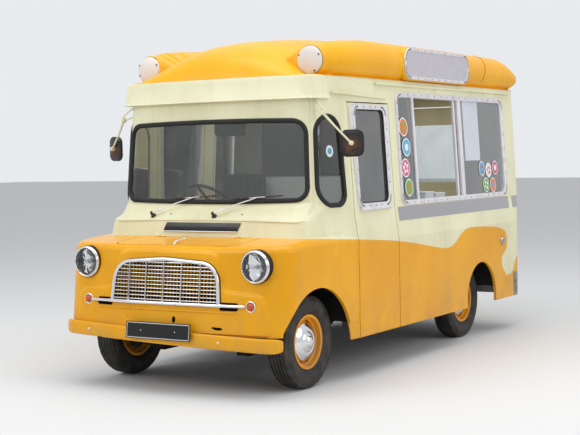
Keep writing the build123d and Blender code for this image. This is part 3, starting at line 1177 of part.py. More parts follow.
with BuildPart() as leaf_pack:
    for row in range(LEAF_COUNT):
        add(leaf(LEAF_HALF_LENGTH * (1.0 - 0.25 * (LEAF_COUNT - 1 - row)), LEAF_SEAT_Z + LEAF_T * row))
    for end_y in (REAR_AXLE_Y - LEAF_HALF_LENGTH, REAR_AXLE_Y + LEAF_HALF_LENGTH):
        hanger_z = LEAF_SEAT_Z + LEAF_T * LEAF_COUNT + LEAF_RISE
        add(block(RAIL_OUTER, LEAF_X + LEAF_HALF_W, end_y - 20.0, end_y + 20.0, hanger_z - 12.0,
                  hanger_z + 20.0))
with BuildPart() as leaf_springs:
    add(leaf_pack.part)
    add(mirrored(leaf_pack.part))
save(leaf_springs.part, "leaf_springs")

# Engine as one plain block with its gearbox, on mounts at the rails
ENGINE_HALF = 200.0
ENGINE_FRONT_Y = FRONT_AXLE_Y - 343.0
ENGINE_REAR_Y = FRONT_AXLE_Y + 177.0
ENGINE_LOW_Z = RAIL_LOW_Z + 10.0
ENGINE_TOP_Z = 800.0
with BuildPart() as engine:
    add(block(-ENGINE_HALF, ENGINE_HALF, ENGINE_FRONT_Y, ENGINE_REAR_Y, ENGINE_LOW_Z, ENGINE_TOP_Z))
    add(rod((0, ENGINE_REAR_Y - 1.0, GEARBOX_Z + 50.0), (0, GEARBOX_END_Y, GEARBOX_Z), GEARBOX_R))
    add(block(-RAIL_INNER, RAIL_INNER, ENGINE_REAR_Y - 260.0, ENGINE_REAR_Y - 200.0, RAIL_LOW_Z + 30.0,
              FLOOR_Z - 10.0))
    add(block(-FAR, FAR, GEARBOX_END_Y, FAR, 0, FAR), mode=Mode.SUBTRACT)
save(engine.part, "engine")

# Exhaust: pipe from the engine's right, silencer, and a tail to the rear
PIPE_X = -250.0
PIPE_Z = RAIL_LOW_Z - 27.0
PIPE_R = 20.0
SILENCER_R = 58.0
SILENCER_FRONT_Y = DOOR_REAR_Y + 202.0
SILENCER_LENGTH = 500.0
with BuildPart() as exhaust:
    add(block(PIPE_X, -ENGINE_HALF, ENGINE_REAR_Y - 95.0, ENGINE_REAR_Y - 35.0, 540.0, 580.0))
    add(rod((PIPE_X, ENGINE_REAR_Y - 65.0, 560.0), (PIPE_X, ENGINE_REAR_Y + 20.0, PIPE_Z + 4.0), PIPE_R))
    add(rod((PIPE_X, ENGINE_REAR_Y + 10.0, PIPE_Z), (PIPE_X, RAIL_TAIL_Y - 20.0, PIPE_Z), PIPE_R))
    add(rod((PIPE_X, SILENCER_FRONT_Y, PIPE_Z), (PIPE_X, SILENCER_FRONT_Y + SILENCER_LENGTH, PIPE_Z),
            SILENCER_R))
    for y in CROSS_YS[1:]:
        add(block(PIPE_X - 8.0, PIPE_X + 8.0, y - 12.0, y + 12.0, PIPE_Z, CROSS_LOW_Z))
save(exhaust.part, "exhaust")

# Fuel tank, strapped up against the floor
TANK_X = 95.0
TANK_HALF = 205.0
TANK_FRONT_Y = REAR_AXLE_Y + 266.0
TANK_REAR_Y = CROSS_YS[3] - CROSS_WIDTH / 2 - 30.0
TANK_LOW_Z = 300.0
TANK_TOP_Z = FLOOR_Z - 22.0
with BuildPart() as fuel_tank:
    add(block(TANK_X - TANK_HALF, TANK_X + TANK_HALF, TANK_FRONT_Y, TANK_REAR_Y, TANK_LOW_Z, TANK_TOP_Z))
    fillet(fuel_tank.edges().filter_by(Axis.X), 40.0)
    for y in (TANK_FRONT_Y + 90.0, TANK_REAR_Y - 90.0):
        add(block(TANK_X - TANK_HALF, TANK_X + TANK_HALF, y - 20.0, y + 20.0, TANK_TOP_Z - 1.0, FLOOR_Z))
save(fuel_tank.part, "fuel_tank")

# Floor: flat load floor, riser, raised cab platform, firewall and the cover over the engine
SEAT_GAP = 0.3
FIREWALL_Y = FRONT_AXLE_Y - 113.0
FIREWALL_TOP_Z = NOSE_TOP_Z - 30.0
SHEET_T = 12.0
COVER_TOP_Z = 930.0
COVER_REAR_Y = CAB_FLOOR_REAR_Y + 100.0
ROCKER_OUT = HALF_WIDTH - WALL - 7.0
ROCKER_WIDTH = 66.0
HOUSING_IN_X = REAR_TRACK_X - 100.0
HOUSING_HALF = 330.0
HOUSING_TOP_Z = 690.0
HOUSING_T = 6.0
with BuildPart() as load_floor:
    add(body_form(WALL + SEAT_GAP, FLOOR_Z, FLOOR_Z + FLOOR_T))
    add(block(-FAR, FAR, CAB_FLOOR_REAR_Y, FAR, 0, FAR), mode=Mode.INTERSECT)
    for side in (-1, 1):
        x0, x1 = sorted((side * ROCKER_OUT, side * FAR))
        add(block(x0, x1, CAB_FLOOR_REAR_Y, REAR_EDGE, 0, FAR), mode=Mode.SUBTRACT)
        x0, x1 = sorted((side * (HOUSING_IN_X - SEAT_GAP), side * FAR))
        add(block(x0, x1, REAR_AXLE_Y - HOUSING_HALF - SEAT_GAP, REAR_AXLE_Y + HOUSING_HALF + SEAT_GAP, 0,
                  FAR),
            mode=Mode.SUBTRACT)
    add(block(-REAR_DOOR_HALF - 2 * PANEL_GAP, REAR_DOOR_HALF + 2 * PANEL_GAP,
              section_at(FLOOR_Z)[2] - WALL - 7.0, FAR,
              0, FAR), mode=Mode.SUBTRACT)
with BuildPart() as cab_floor:
    add(block(-FAR, FAR, FIREWALL_Y, CAB_FLOOR_REAR_Y + SHEET_T, CAB_FLOOR_Z, CAB_FLOOR_Z + FLOOR_T))
    add(block(-FAR, FAR, CAB_FLOOR_REAR_Y, CAB_FLOOR_REAR_Y + SHEET_T, FLOOR_Z, CAB_FLOOR_Z + FLOOR_T))
    add(block(-FAR, FAR, FIREWALL_Y, FIREWALL_Y + SHEET_T, CAB_FLOOR_Z, FIREWALL_TOP_Z))
    add(nose_form(WALL + SEAT_GAP, SILL_Z), mode=Mode.INTERSECT)
with BuildPart() as floor:
    add(load_floor.part)
    add(cab_floor.part)
    add(block(-COVER_HALF_WIDTH, COVER_HALF_WIDTH, FIREWALL_Y, COVER_REAR_Y, CAB_FLOOR_Z, COVER_TOP_Z))
    add(block(-COVER_HALF_WIDTH, COVER_HALF_WIDTH, CAB_FLOOR_REAR_Y, COVER_REAR_Y, FLOOR_Z, COVER_TOP_Z))
    for x0, x1 in ((ROCKER_OUT - ROCKER_WIDTH, ROCKER_OUT), (-ROCKER_OUT, ROCKER_WIDTH - ROCKER_OUT)):
        add(block(x0, x1, CAB_FLOOR_REAR_Y, REAR_AXLE_Y - HOUSING_HALF - 14.0, SILL_Z + 20.0, FLOOR_Z))
    add(block(SHEET_T - COVER_HALF_WIDTH, COVER_HALF_WIDTH - SHEET_T, FIREWALL_Y - 1.0,
              COVER_REAR_Y - SHEET_T, 0,
              COVER_TOP_Z - SHEET_T), mode=Mode.SUBTRACT)
save(floor.part, "floor")

# Wheel housings: closed boxes over the rear wheels, and inner walls with a roof over the front ones
FRONT_WALL_X = RAIL_OUTER + 52.5
FRONT_HOUSING_Y0 = FRONT_ARCH[0][0]
FRONT_HOUSING_Y1 = FRONT_ARCH[2][0] + 10.0
HOUSING_LOW_Z = 400.0
with BuildPart() as rear_housing:
    add(block(HOUSING_IN_X, HALF_WIDTH - WALL - SEAT_GAP, REAR_AXLE_Y - HOUSING_HALF,
              REAR_AXLE_Y + HOUSING_HALF,
              HOUSING_LOW_Z, HOUSING_TOP_Z))
    add(block(HOUSING_IN_X + HOUSING_T, FAR, REAR_AXLE_Y - HOUSING_HALF + HOUSING_T,
              REAR_AXLE_Y + HOUSING_HALF - HOUSING_T, 0, HOUSING_TOP_Z - HOUSING_T), mode=Mode.SUBTRACT)
with BuildPart() as front_housing:
    add(block(FRONT_WALL_X, FAR, FRONT_HOUSING_Y0, FRONT_HOUSING_Y1, HOUSING_LOW_Z, CAB_FLOOR_Z - SEAT_GAP))
    add(nose_form(WALL + SEAT_GAP, SILL_Z), mode=Mode.INTERSECT)
    add(block(FRONT_WALL_X + HOUSING_T, FAR, FRONT_HOUSING_Y0 + HOUSING_T, FRONT_HOUSING_Y1 - HOUSING_T, 0,
              CAB_FLOOR_Z - SEAT_GAP - HOUSING_T), mode=Mode.SUBTRACT)
    add(block(0, FRONT_WALL_X + 60.0, FRONT_AXLE_Y - 170.0, FRONT_AXLE_Y + 170.0, 0, SPRING_TOP_Z + 30.0),
        mode=Mode.SUBTRACT)
with BuildPart() as wheel_housings:
    for piece in (rear_housing.part, front_housing.part):
        add(piece)
        add(mirrored(piece))
save(wheel_housings.part, "wheel_housings")

# Freezer cabinet across the truck behind the seats, with three doors facing the serving side
CABINET_X0 = -600.0
CABINET_X1 = 812.0
CABINET_DEPTH = 270.0
CABINET_DOORS = 3
CABINET_REAR_Y = CABINET_FRONT_Y + CABINET_DEPTH
door_pitch = (CABINET_X1 - CABINET_X0 - 60.0) / CABINET_DOORS
with BuildPart() as freezer_cabinet:
    add(block(CABINET_X0, CABINET_X1, CABINET_FRONT_Y, CABINET_REAR_Y, FLOOR_Z + FLOOR_T, CABINET_TOP_Z))
    fillet(freezer_cabinet.edges().filter_by(Axis.Z), 12.0)
    for row in range(CABINET_DOORS):
        x = CABINET_X0 + 30.0 + door_pitch * row
        add(block(x + 8.0, x + door_pitch - 8.0, CABINET_REAR_Y - 1.0, CABINET_REAR_Y + 8.0, FLOOR_Z + 110.0,
                  CABINET_TOP_Z - 60.0))
        add(block(x + 60.0, x + door_pitch - 60.0, CABINET_REAR_Y + 7.0, CABINET_REAR_Y + 26.0,
                  CABINET_TOP_Z - 150.0,
                  CABINET_TOP_Z - 128.0))
save(freezer_cabinet.part, "freezer_cabinet")

# Bulkhead on the cabinet behind the passenger's side, with a post at the driver's
BULKHEAD_X0 = -290.0
BULKHEAD_T = 18.0
POST_X = CABINET_X0 - 35.0
POST_W = 28.0
with BuildPart() as bulkhead:
    add(body_form(WALL + SEAT_GAP, CABINET_TOP_Z, ROOF_BASE_Z - 15.0))
    add(block(BULKHEAD_X0, FAR, CABINET_FRONT_Y - 8.0, CABINET_FRONT_Y - 8.0 + BULKHEAD_T, 0, FAR),
        mode=Mode.INTERSECT)
    add(block(POST_X, BULKHEAD_X0 + 1.0, CABINET_FRONT_Y - 8.0, CABINET_FRONT_Y - 8.0 + BULKHEAD_T, 2020.0,
              2050.0))
    add(block(POST_X - POST_W / 2, POST_X + POST_W / 2, CABINET_FRONT_Y - 8.0, CABINET_FRONT_Y + POST_W - 8.0,
              FLOOR_Z + FLOOR_T, 2050.0))
save(bulkhead.part, "bulkhead")

# Serving counter along the hatch, notched over the wheel housing
COUNTER_Y0 = HATCH_FRONT_Y + 292.0
COUNTER_Y1 = REAR_SPLIT_Y - 135.0
COUNTER_X0 = HALF_WIDTH - 275.0
with BuildPart() as serving_counter:
    add(block(COUNTER_X0, FAR, COUNTER_Y0, COUNTER_Y1, FLOOR_Z + FLOOR_T, COUNTER_Z - 30.0))
    add(block(COUNTER_X0 - 25.0, FAR, COUNTER_Y0 - 15.0, COUNTER_Y1 + 15.0, COUNTER_Z - 31.0, COUNTER_Z))
    add(body_form(WALL + 4.0), mode=Mode.INTERSECT)
    add(block(0, FAR, REAR_AXLE_Y - HOUSING_HALF - 1.0, REAR_AXLE_Y + HOUSING_HALF + 1.0, 0,
              HOUSING_TOP_Z + SEAT_GAP),
        mode=Mode.SUBTRACT)
save(serving_counter.part, "serving_counter")

# Driver's seat on a box, set on the truck's right
SEAT_X = STEERING_CENTRE[0]
SEAT_FRONT_Y = DOOR_FRONT_Y + 142.0
SEAT_REAR_Y = CABINET_FRONT_Y - 28.0
SEAT_Z = 850.0
CUSHION_T = 110.0
SEAT_HALF = 215.0
with BuildPart() as cushion:
    add(block(SEAT_X - SEAT_HALF, SEAT_X + SEAT_HALF, SEAT_FRONT_Y, SEAT_REAR_Y, SEAT_Z, SEAT_Z + CUSHION_T))
    fillet(cushion.edges(), 28.0)
with BuildPart() as backrest:
    with BuildSketch(Plane.YZ.offset(SEAT_X - SEAT_HALF + 10.0)):
        Polygon((SEAT_REAR_Y - 120.0, SEAT_Z + 60.0), (SEAT_REAR_Y - 32.0, SEAT_Z + 60.0),
                (SEAT_REAR_Y, SEAT_Z + 560.0),
                (SEAT_REAR_Y - 78.0, SEAT_Z + 570.0), align=None)
    extrude(amount=2 * SEAT_HALF - 20.0)
    fillet(backrest.edges(), 26.0)
with BuildPart() as driver_seat:
    add(block(SEAT_X - SEAT_HALF + 40.0, SEAT_X + SEAT_HALF - 40.0, SEAT_FRONT_Y + 50.0, SEAT_REAR_Y - 20.0,
              FLOOR_Z + FLOOR_T, SEAT_Z + 10.0))
    add(cushion.part)
    add(backrest.part)
save(driver_seat.part, "driver_seat")

# Dashboard under the scuttle, with a hooded dial box before the driver
DASH_REAR_Y = FRONT_AXLE_Y + 107.0
DASH_LOW_Z = 1010.0
DASH_TOP_Z = 1102.0
with BuildPart() as dial_box:
    add(block(SEAT_X - 140.0, SEAT_X + 140.0, DASH_REAR_Y - 90.0, DASH_REAR_Y, DASH_TOP_Z - 40.0,
              DASH_TOP_Z + 64.0))
    fillet(dial_box.edges().filter_by(Axis.Y), 26.0)
with BuildPart() as dashboard:
    add(body_form(WALL + SEAT_GAP, DASH_LOW_Z, DASH_TOP_Z))
    add(block(-FAR, FAR, -FAR, DASH_REAR_Y, 0, FAR), mode=Mode.INTERSECT)
    add(dial_box.part)
save(dashboard.part, "dashboard")

# Steering column from the platform up to the wheel, and the steering wheel on its spindle
COLUMN_R = 22.0
SPINDLE_R = 9.0
RIM_R = 12.0
STEERING_HUB_R = 30.0
up_column = Vector(0, math.cos(math.radians(STEERING_ANGLE)), math.sin(math.radians(STEERING_ANGLE)))
wheel_centre = Vector(*STEERING_CENTRE)
column_drop = (STEERING_CENTRE[2] - CAB_FLOOR_Z) / math.sin(math.radians(STEERING_ANGLE))
foot = wheel_centre - up_column * column_drop
with BuildPart() as steering_column:
    add(rod(foot, wheel_centre - up_column * 32.0, COLUMN_R))
    add(rod(wheel_centre - up_column * 40.0, wheel_centre + up_column * 8.0, SPINDLE_R))
    add(rod((foot.X, foot.Y + 17.0, CAB_FLOOR_Z), (foot.X, foot.Y + 17.0, CAB_FLOOR_Z + FLOOR_T + 8.0),
            2 * COLUMN_R))
    add(block(-FAR, FAR, -FAR, FAR, 0, CAB_FLOOR_Z + FLOOR_T), mode=Mode.SUBTRACT)
save(steering_column.part, "steering_column")
with BuildPart() as steering_flat:
    with BuildSketch(Plane.XZ):
        with Locations((STEERING_R - RIM_R, 0)):
            Circle(RIM_R)
    revolve(axis=Axis.Z)
    with BuildSketch(Plane.XY.offset(-24.0)):
        Circle(STEERING_HUB_R)
    extrude(amount=36.0)
    with PolarLocations(STEERING_R / 2, 3, start_angle=-90.0):
        Box(STEERING_R - 2 * RIM_R, 24.0, 9.0)
    with BuildSketch(Plane.XY.offset(-30.0)):
        Circle(SPINDLE_R + RUN_FIT)
    extrude(amount=39.0, mode=Mode.SUBTRACT)
save(steering_flat.part.moved(Plane(origin=STEERING_CENTRE, x_dir=(1, 0, 0), z_dir=up_column).location),
     "steering_wheel")
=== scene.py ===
import math
import bmesh
import bpy
from mathutils import Matrix, Vector
from mathutils.bvhtree import BVHTree


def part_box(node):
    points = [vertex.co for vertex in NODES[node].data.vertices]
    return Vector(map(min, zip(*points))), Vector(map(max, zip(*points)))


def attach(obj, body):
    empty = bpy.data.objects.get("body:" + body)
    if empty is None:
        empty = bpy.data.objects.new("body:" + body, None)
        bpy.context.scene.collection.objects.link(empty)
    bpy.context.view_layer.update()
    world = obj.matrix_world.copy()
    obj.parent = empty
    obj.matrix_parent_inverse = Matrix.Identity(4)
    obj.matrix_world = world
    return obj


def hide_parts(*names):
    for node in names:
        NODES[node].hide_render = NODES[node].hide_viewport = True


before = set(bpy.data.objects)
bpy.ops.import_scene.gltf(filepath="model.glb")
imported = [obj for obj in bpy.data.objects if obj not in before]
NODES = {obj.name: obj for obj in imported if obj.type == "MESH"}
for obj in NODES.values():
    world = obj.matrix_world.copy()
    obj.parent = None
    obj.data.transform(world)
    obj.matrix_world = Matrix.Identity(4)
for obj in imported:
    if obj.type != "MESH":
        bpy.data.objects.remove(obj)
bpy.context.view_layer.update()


# Materials

def lin(r, g, b):
    """Linear colour from 0 to 255 display values."""
    def one(v):
        v = v / 255.0
        return v / 12.92 if v <= 0.04045 else ((v + 0.055) / 1.055) ** 2.4
    return (one(r), one(g), one(b), 1.0)


class Nodes:
    """Short way to write a material's node tree."""

    def __init__(self, name):
        self.mat = bpy.data.materials.new(name)
        self.mat.use_nodes = True
        self.tree = self.mat.node_tree
        self.tree.nodes.clear()
        self.out = self.tree.nodes.new("ShaderNodeOutputMaterial")
        self.shader = self.tree.nodes.new("ShaderNodeBsdfPrincipled")
        self.tree.links.new(self.shader.outputs[0], self.out.inputs[0])
        self.coords = self.tree.nodes.new("ShaderNodeTexCoord").outputs["Object"]

    def set(self, **values):
        for key, value in values.items():
            self.shader.inputs[key.replace("_", " ")].default_value = value

    def link(self, value, socket):
        if isinstance(value, (int, float, tuple, list)):
            socket.default_value = value
        else:
            self.tree.links.new(value, socket)

    def node(self, kind, out=0, props=None, **inputs):
        """New node's output; an input is given by its label, or by i and its number."""
        n = self.tree.nodes.new(kind)
        for key, value in (props or {}).items():
            setattr(n, key, value)
        for key, value in inputs.items():
            numbered = key[0] == "i" and key[1:].isdigit()
            self.link(value, n.inputs[int(key[1:])] if numbered else n.inputs[key.replace("_", " ")])
        return n.outputs[out]

    def math(self, op, a, b=0.0, c=0.0, clamp=False):
        return self.node("ShaderNodeMath", props={"operation": op, "use_clamp": clamp}, i0=a, i1=b, i2=c)

    def noise(self, scale, detail=2.0, rough=0.5):
        return self.node("ShaderNodeTexNoise", "Fac", Vector=self.coords, Scale=scale, Detail=detail,
                         Roughness=rough)

    def stretched_noise(self, x, y, z, detail):
        spread = self.node("ShaderNodeMapping", Vector=self.coords, Scale=(x, y, z))
        return self.node("ShaderNodeTexNoise", "Fac", Vector=spread, Scale=1.0, Detail=detail)

    def ramp(self, value, low, high, out_low=0.0, out_high=1.0):
        return self.node("ShaderNodeMapRange", Value=value, From_Min=low, From_Max=high, To_Min=out_low,
                         To_Max=out_high)

    def mix(self, fac, a, b):
        n = self.tree.nodes.new("ShaderNodeMix")
        n.data_type = "RGBA"
        self.link(fac, n.inputs[0])
        self.link(a, n.inputs[6])
        self.link(b, n.inputs[7])
        return n.outputs[2]

    def xyz(self):
        n = self.tree.nodes.new("ShaderNodeSeparateXYZ")
        self.tree.links.new(self.coords, n.inputs[0])
        return n.outputs[0], n.outputs[1], n.outputs[2]

    def curve(self, value, points):
        """Smooth function of a value from 0 to 1, through a short list of points."""
        n = self.tree.nodes.new("ShaderNodeFloatCurve")
        self.link(value, n.inputs["Value"])
        line = n.mapping.curves[0]
        n.mapping.use_clip = False
        points = sorted(points)
        line.points[0].location = points[0]
        line.points[1].location = points[-1]
        for p in points[1:-1]:
            line.points.new(*p)
        n.mapping.update()
        return n.outputs[0]

    def bump(self, *layers):
        """Each layer is (height, strength, distance in metres)."""
        normal = None
        for height, strength, distance in layers:
            n = self.tree.nodes.new("ShaderNodeBump")
            n.inputs["Strength"].default_value = strength
            n.inputs["Distance"].default_value = distance
            self.tree.links.new(height, n.inputs["Height"])
            if normal is not None:
                self.tree.links.new(normal, n.inputs["Normal"])
            normal = n.outputs[0]
        self.tree.links.new(normal, self.shader.inputs["Normal"])


YELLOW = lin(235, 168, 0)
YELLOW_WORN = lin(224, 155, 0)
CREAM = lin(228, 226, 190)
CREAM_WORN = lin(216, 212, 174)
DUST = lin(150, 132, 100)


def finish_paint(m, colour, rough=0.24, peel=0.05, dust_top=0.62):
    """Brush-painted gloss: run marks, small chips, road dust low down, soft ripples."""
    streak = m.stretched_noise(9.0, 9.0, 0.9, 3.0)
    chip = m.ramp(m.noise(55.0, 4.0, 0.7), 0.735, 0.76)
    low = m.ramp(m.xyz()[2], dust_top, 0.25)
    grime = m.math("MULTIPLY", low, m.ramp(m.noise(6.0, 5.0), 0.40, 0.72), clamp=True)
    colour = m.mix(m.ramp(streak, 0.56, 0.80, 0.0, 0.16), colour, DUST)
    colour = m.mix(m.math("MULTIPLY", grime, 0.42), colour, DUST)
    colour = m.mix(m.math("MULTIPLY", chip, 0.35), colour, lin(120, 96, 60))
    m.link(colour, m.shader.inputs["Base Color"])
    rough_now = m.math("ADD", rough, m.math("MULTIPLY", m.ramp(m.noise(1.3, 3.0), 0.35, 0.75), 0.10))
    m.link(m.math("ADD", rough_now, m.math("MULTIPLY", grime, 0.30), clamp=True), m.shader.inputs["Roughness"])
    m.set(Coat_Weight=0.10, Coat_Roughness=0.08, Specular_IOR_Level=0.26)
    m.bump((m.noise(2.2, 2.0), 0.22, 0.010), (m.noise(260.0, 2.0), peel, 0.001))


def worn(m):
    """Share of worn paint, in broad soft patches."""
    return m.ramp(m.noise(2.1, 4.0), 0.35, 0.70)


def plain_paint(name, colour, worn_colour, rough=0.24, peel=0.05, dust_top=0.62):
    m = Nodes(name)
    finish_paint(m, m.mix(worn(m), colour, worn_colour), rough, peel, dust_top)
    return m.mat


# Lower edge of the cream, as height over length (metres in the row frame)
WAVE = [(-2.2, 1.004), (-1.68, 1.003), (-1.35, 0.981), (-1.016, 0.957), (-0.70, 0.932), (-0.406, 0.905),
        (-0.14, 0.871), (0.114, 0.834), (0.27, 0.810), (0.403, 0.796), (0.48, 0.797), (0.573, 0.823),
        (0.65, 0.865), (0.73, 0.901), (0.83, 0.926), (1.0, 0.926), (1.25, 0.915), (1.50, 0.898),
        (1.62, 0.890), (2.2, 0.886)]
# Rear end of the yellow, as place along the truck over height
LOBE = [(0.0, 1.62), (0.45, 1.62), (0.485, 1.612), (0.515, 1.585), (0.55, 1.545), (0.585, 1.534),
        (0.62, 1.532), (0.645, 1.545), (0.665, 1.580), (0.681, 1.612), (0.71, 1.640), (0.766, 1.655),
        (0.82, 1.645), (0.855, 1.612), (0.875, 1.560), (0.892, 1.480), (0.93, 1.30), (1.2, 1.30)]
# Yellow along the foot, behind the rear wheel
TOE = [(-2.2, 0.30), (1.50, 0.30), (1.56, 0.490), (1.62, 0.478), (1.70, 0.474), (1.765, 0.492),
       (1.80, 0.530), (1.858, 0.606), (1.92, 0.650), (2.2, 0.655)]
CURVE_Y = 2.2
CURVE_Z = 1.2


def two_tone(name):
    """Cream above yellow, parted along the painted wave and its tongue behind the rear wheel."""
    m = Nodes(name)
    _, y, z = m.xyz()
    along_truck = m.math("DIVIDE", m.math("ADD", y, CURVE_Y), 2 * CURVE_Y)

    def height(edge):
        points = [((a + CURVE_Y) / (2 * CURVE_Y), b / CURVE_Z) for a, b in edge]
        return m.math("MULTIPLY", m.curve(along_truck, points), CURVE_Z)

    def under(edge, value):
        return m.math("MULTIPLY_ADD", m.math("SUBTRACT", edge, value), 350.0, 0.5, clamp=True)

    lobe = m.curve(m.math("DIVIDE", z, CURVE_Z), [(a / CURVE_Z, b / CURVE_Y) for a, b in LOBE])
    body = m.math("MINIMUM", under(height(WAVE), z), under(m.math("MULTIPLY", lobe, CURVE_Y), y))
    yellow = m.math("MAXIMUM", body, under(height(TOE), z))
    fade = worn(m)
    finish_paint(m, m.mix(yellow, m.mix(fade, CREAM, CREAM_WORN), m.mix(fade, YELLOW, YELLOW_WORN)))
    return m.mat


def metal(name, colour, rough, scratch=0.10, metallic=1.0, grime=0.0, wave=0.0):
    """Metal with fine scratches, dull dirty patches and, where asked, soft dents."""
    m = Nodes(name)
    scratches = m.stretched_noise(60, 60, 60, 4.0)
    m.link(m.math("ADD", rough, m.math("MULTIPLY", scratches, scratch)), m.shader.inputs["Roughness"])
    dirt = m.ramp(m.noise(14.0, 5.0), 0.45, 0.75, 0.0, grime)
    m.link(m.mix(dirt, colour, lin(92, 78, 60)), m.shader.inputs["Base Color"])
    m.link(m.math("SUBTRACT", metallic, m.math("MULTIPLY", dirt, 0.7)), m.shader.inputs["Metallic"])
    layers = [(scratches, 0.05, 0.0005)]
    if wave:
        layers.insert(0, (m.noise(4.0, 1.0), wave, 0.01))
    m.bump(*layers)
    return m.mat


def plain(name, colour, rough, grain=300.0, depth=0.06, spread=0.15, spec=0.4):
    """Moulded plastic, rubber or enamel with a fine grain and uneven gloss."""
    m = Nodes(name)
    tone = m.ramp(m.noise(5.0, 4.0), 0.3, 0.75)
    darker = tuple(c * (1.0 - spread) for c in colour[:3]) + (1.0,)
    m.link(m.mix(tone, colour, darker), m.shader.inputs["Base Color"])
    m.link(m.math("ADD", rough, m.math("MULTIPLY", tone, 0.12)), m.shader.inputs["Roughness"])
    m.set(Specular_IOR_Level=spec)
    m.bump((m.noise(grain, 2.0), depth, 0.001))
    return m.mat


def glass(name, tint, dirt=0.06, shine_by=1.15):
    """Thin clear sheet: mostly see-through with a sharp reflection and a little film of dust."""
    m = Nodes(name)
    tree = m.tree
    clear = tree.nodes.new("ShaderNodeBsdfTransparent")
    clear.inputs[0].default_value = tint
    shine = tree.nodes.new("ShaderNodeBsdfGlossy")
    shine.inputs["Color"].default_value = (1, 1, 1, 1)
    shine.inputs["Roughness"].default_value = 0.02
    fresnel = tree.nodes.new("ShaderNodeFresnel")
    fresnel.inputs[0].default_value = 1.52
    wobble = tree.nodes.new("ShaderNodeBump")
    wobble.inputs["Strength"].default_value = 0.04
    wobble.inputs["Distance"].default_value = 0.01
    tree.links.new(m.noise(1.2, 1.0), wobble.inputs["Height"])
    tree.links.new(wobble.outputs[0], shine.inputs["Normal"])
    first = tree.nodes.new("ShaderNodeMixShader")
    tree.links.new(m.math("MULTIPLY", fresnel.outputs[0], shine_by, clamp=True), first.inputs[0])
    tree.links.new(clear.outputs[0], first.inputs[1])
    tree.links.new(shine.outputs[0], first.inputs[2])
    m.set(Base_Color=lin(150, 150, 140), Roughness=0.7)
    second = tree.nodes.new("ShaderNodeMixShader")
    tree.links.new(m.ramp(m.noise(3.0, 6.0), 0.35, 0.80, 0.0, dirt), second.inputs[0])
    tree.links.new(first.outputs[0], second.inputs[1])
    tree.links.new(m.shader.outputs[0], second.inputs[2])
    tree.links.new(second.outputs[0], m.out.inputs[0])
    return m.mat


GLASS_TINT = (0.90, 0.93, 0.92, 1)
MAT = {
    "two_tone": two_tone("paint_two_tone"),
    "yellow": plain_paint("paint_yellow", YELLOW, YELLOW_WORN),
    "cream": plain_paint("paint_cream", CREAM, CREAM_WORN),
    "roof": plain_paint("roof_gelcoat", lin(242, 178, 14), lin(234, 166, 8), rough=0.36, peel=0.10),
    "wheel": plain_paint("paint_wheels", lin(226, 150, 4), lin(196, 126, 10), rough=0.30, dust_top=0.9),
    "frame": metal("window_aluminium", lin(226, 223, 226), 0.34, 0.20, 0.45, grime=0.22),
    "chrome": metal("bright_chrome", lin(228, 228, 230), 0.05, 0.07, grime=0.05),
    "polished": metal("polished_steel", lin(176, 174, 176), 0.03, 0.05, wave=0.10),
    "grille": metal("grille_aluminium", lin(205, 205, 205), 0.22, 0.18, grime=0.30),
    "steel_dark": metal("dark_steel", lin(70, 66, 62), 0.45, 0.2, 0.7, grime=0.6),
    "rubber": plain("black_rubber", lin(22, 22, 22), 0.55, 160.0, 0.10),
    "black": plain("black_enamel", lin(16, 16, 17), 0.22, 200.0, 0.04),
    "satin_black": plain("satin_black", lin(26, 26, 27), 0.5, 180.0, 0.10),
    "underside": plain("underseal", lin(30, 28, 26), 0.85, 60.0, 0.35, 0.4),
    "grey": plain("grey_panel", lin(72, 70, 68), 0.45, 140.0, 0.05),
    "enamel": plain("white_enamel", lin(205, 208, 210), 0.25, 120.0, 0.03, 0.06),
    "floor": plain("floor_sheet", lin(84, 82, 80), 0.5, 90.0, 0.12),
    "lens_amber": plain("amber_lens", lin(206, 84, 8), 0.12, 40.0, 0.05, 0.25, 0.6),
    "lens_red": plain("red_lens", lin(150, 14, 12), 0.12, 40.0, 0.05, 0.25, 0.6),
    "white_plastic": plain("lamp_dome", lin(228, 220, 214), 0.35, 150.0, 0.03, 0.06),
    # Darker amber of the roof seam: painted shade of its groove
    "seam": plain("seam_groove_shade", lin(176, 112, 14), 0.6, 90.0, 0.05, 0.2),
    "paper": plain("notice_paper", lin(206, 212, 220), 0.6, 90.0, 0.03, 0.08),
    "sticker_white": plain("sticker_white", lin(232, 234, 236), 0.35, 90.0, 0.03, 0.05),
    "mullion": plain("mullion_white", lin(222, 220, 224), 0.3, 90.0, 0.05, 0.12),
    "shadow": plain("deep_shadow", lin(9, 9, 9), 0.9, 60.0, 0.05, 0.1, 0.1),
    "reflector": metal("lamp_reflector", lin(236, 236, 238), 0.04, 0.03),
    "hub_chrome": metal("hub_chrome", lin(225, 225, 227), 0.07, 0.09, grime=0.10),
    "wiper_rubber": plain("wiper_rubber", lin(66, 50, 40), 0.6, 160.0, 0.10),
    "lamp_glass": glass("lamp_glass", (0.97, 0.98, 0.98, 1)),
    "glass": glass("clear_glass", GLASS_TINT),
    "side_glass": glass("side_glass", GLASS_TINT, dirt=0.12, shine_by=2.1),
    "sign": metal("sign_face", lin(196, 192, 198), 0.42, 0.22, 0.35, grime=0.10),
    "plate": plain("plate_black", lin(14, 14, 15), 0.30, 120.0, 0.04),
    "plate_edge": metal("plate_edge", lin(190, 190, 190), 0.3, 0.2),
    "leather": plain("black_leathercloth", lin(24, 23, 23), 0.42, 520.0, 0.35, 0.25),
    "iron": plain("cast_iron", lin(58, 54, 50), 0.7, 90.0, 0.4, 0.4),
}

for tone, shown in (("blue", (96, 176, 214)), ("orange", (232, 122, 52)), ("pink", (216, 96, 130)),
                    ("green", (122, 178, 84))):
    MAT["sticker_" + tone] = plain("sticker_" + tone, lin(*shown), 0.35, 90.0, 0.03, 0.2)


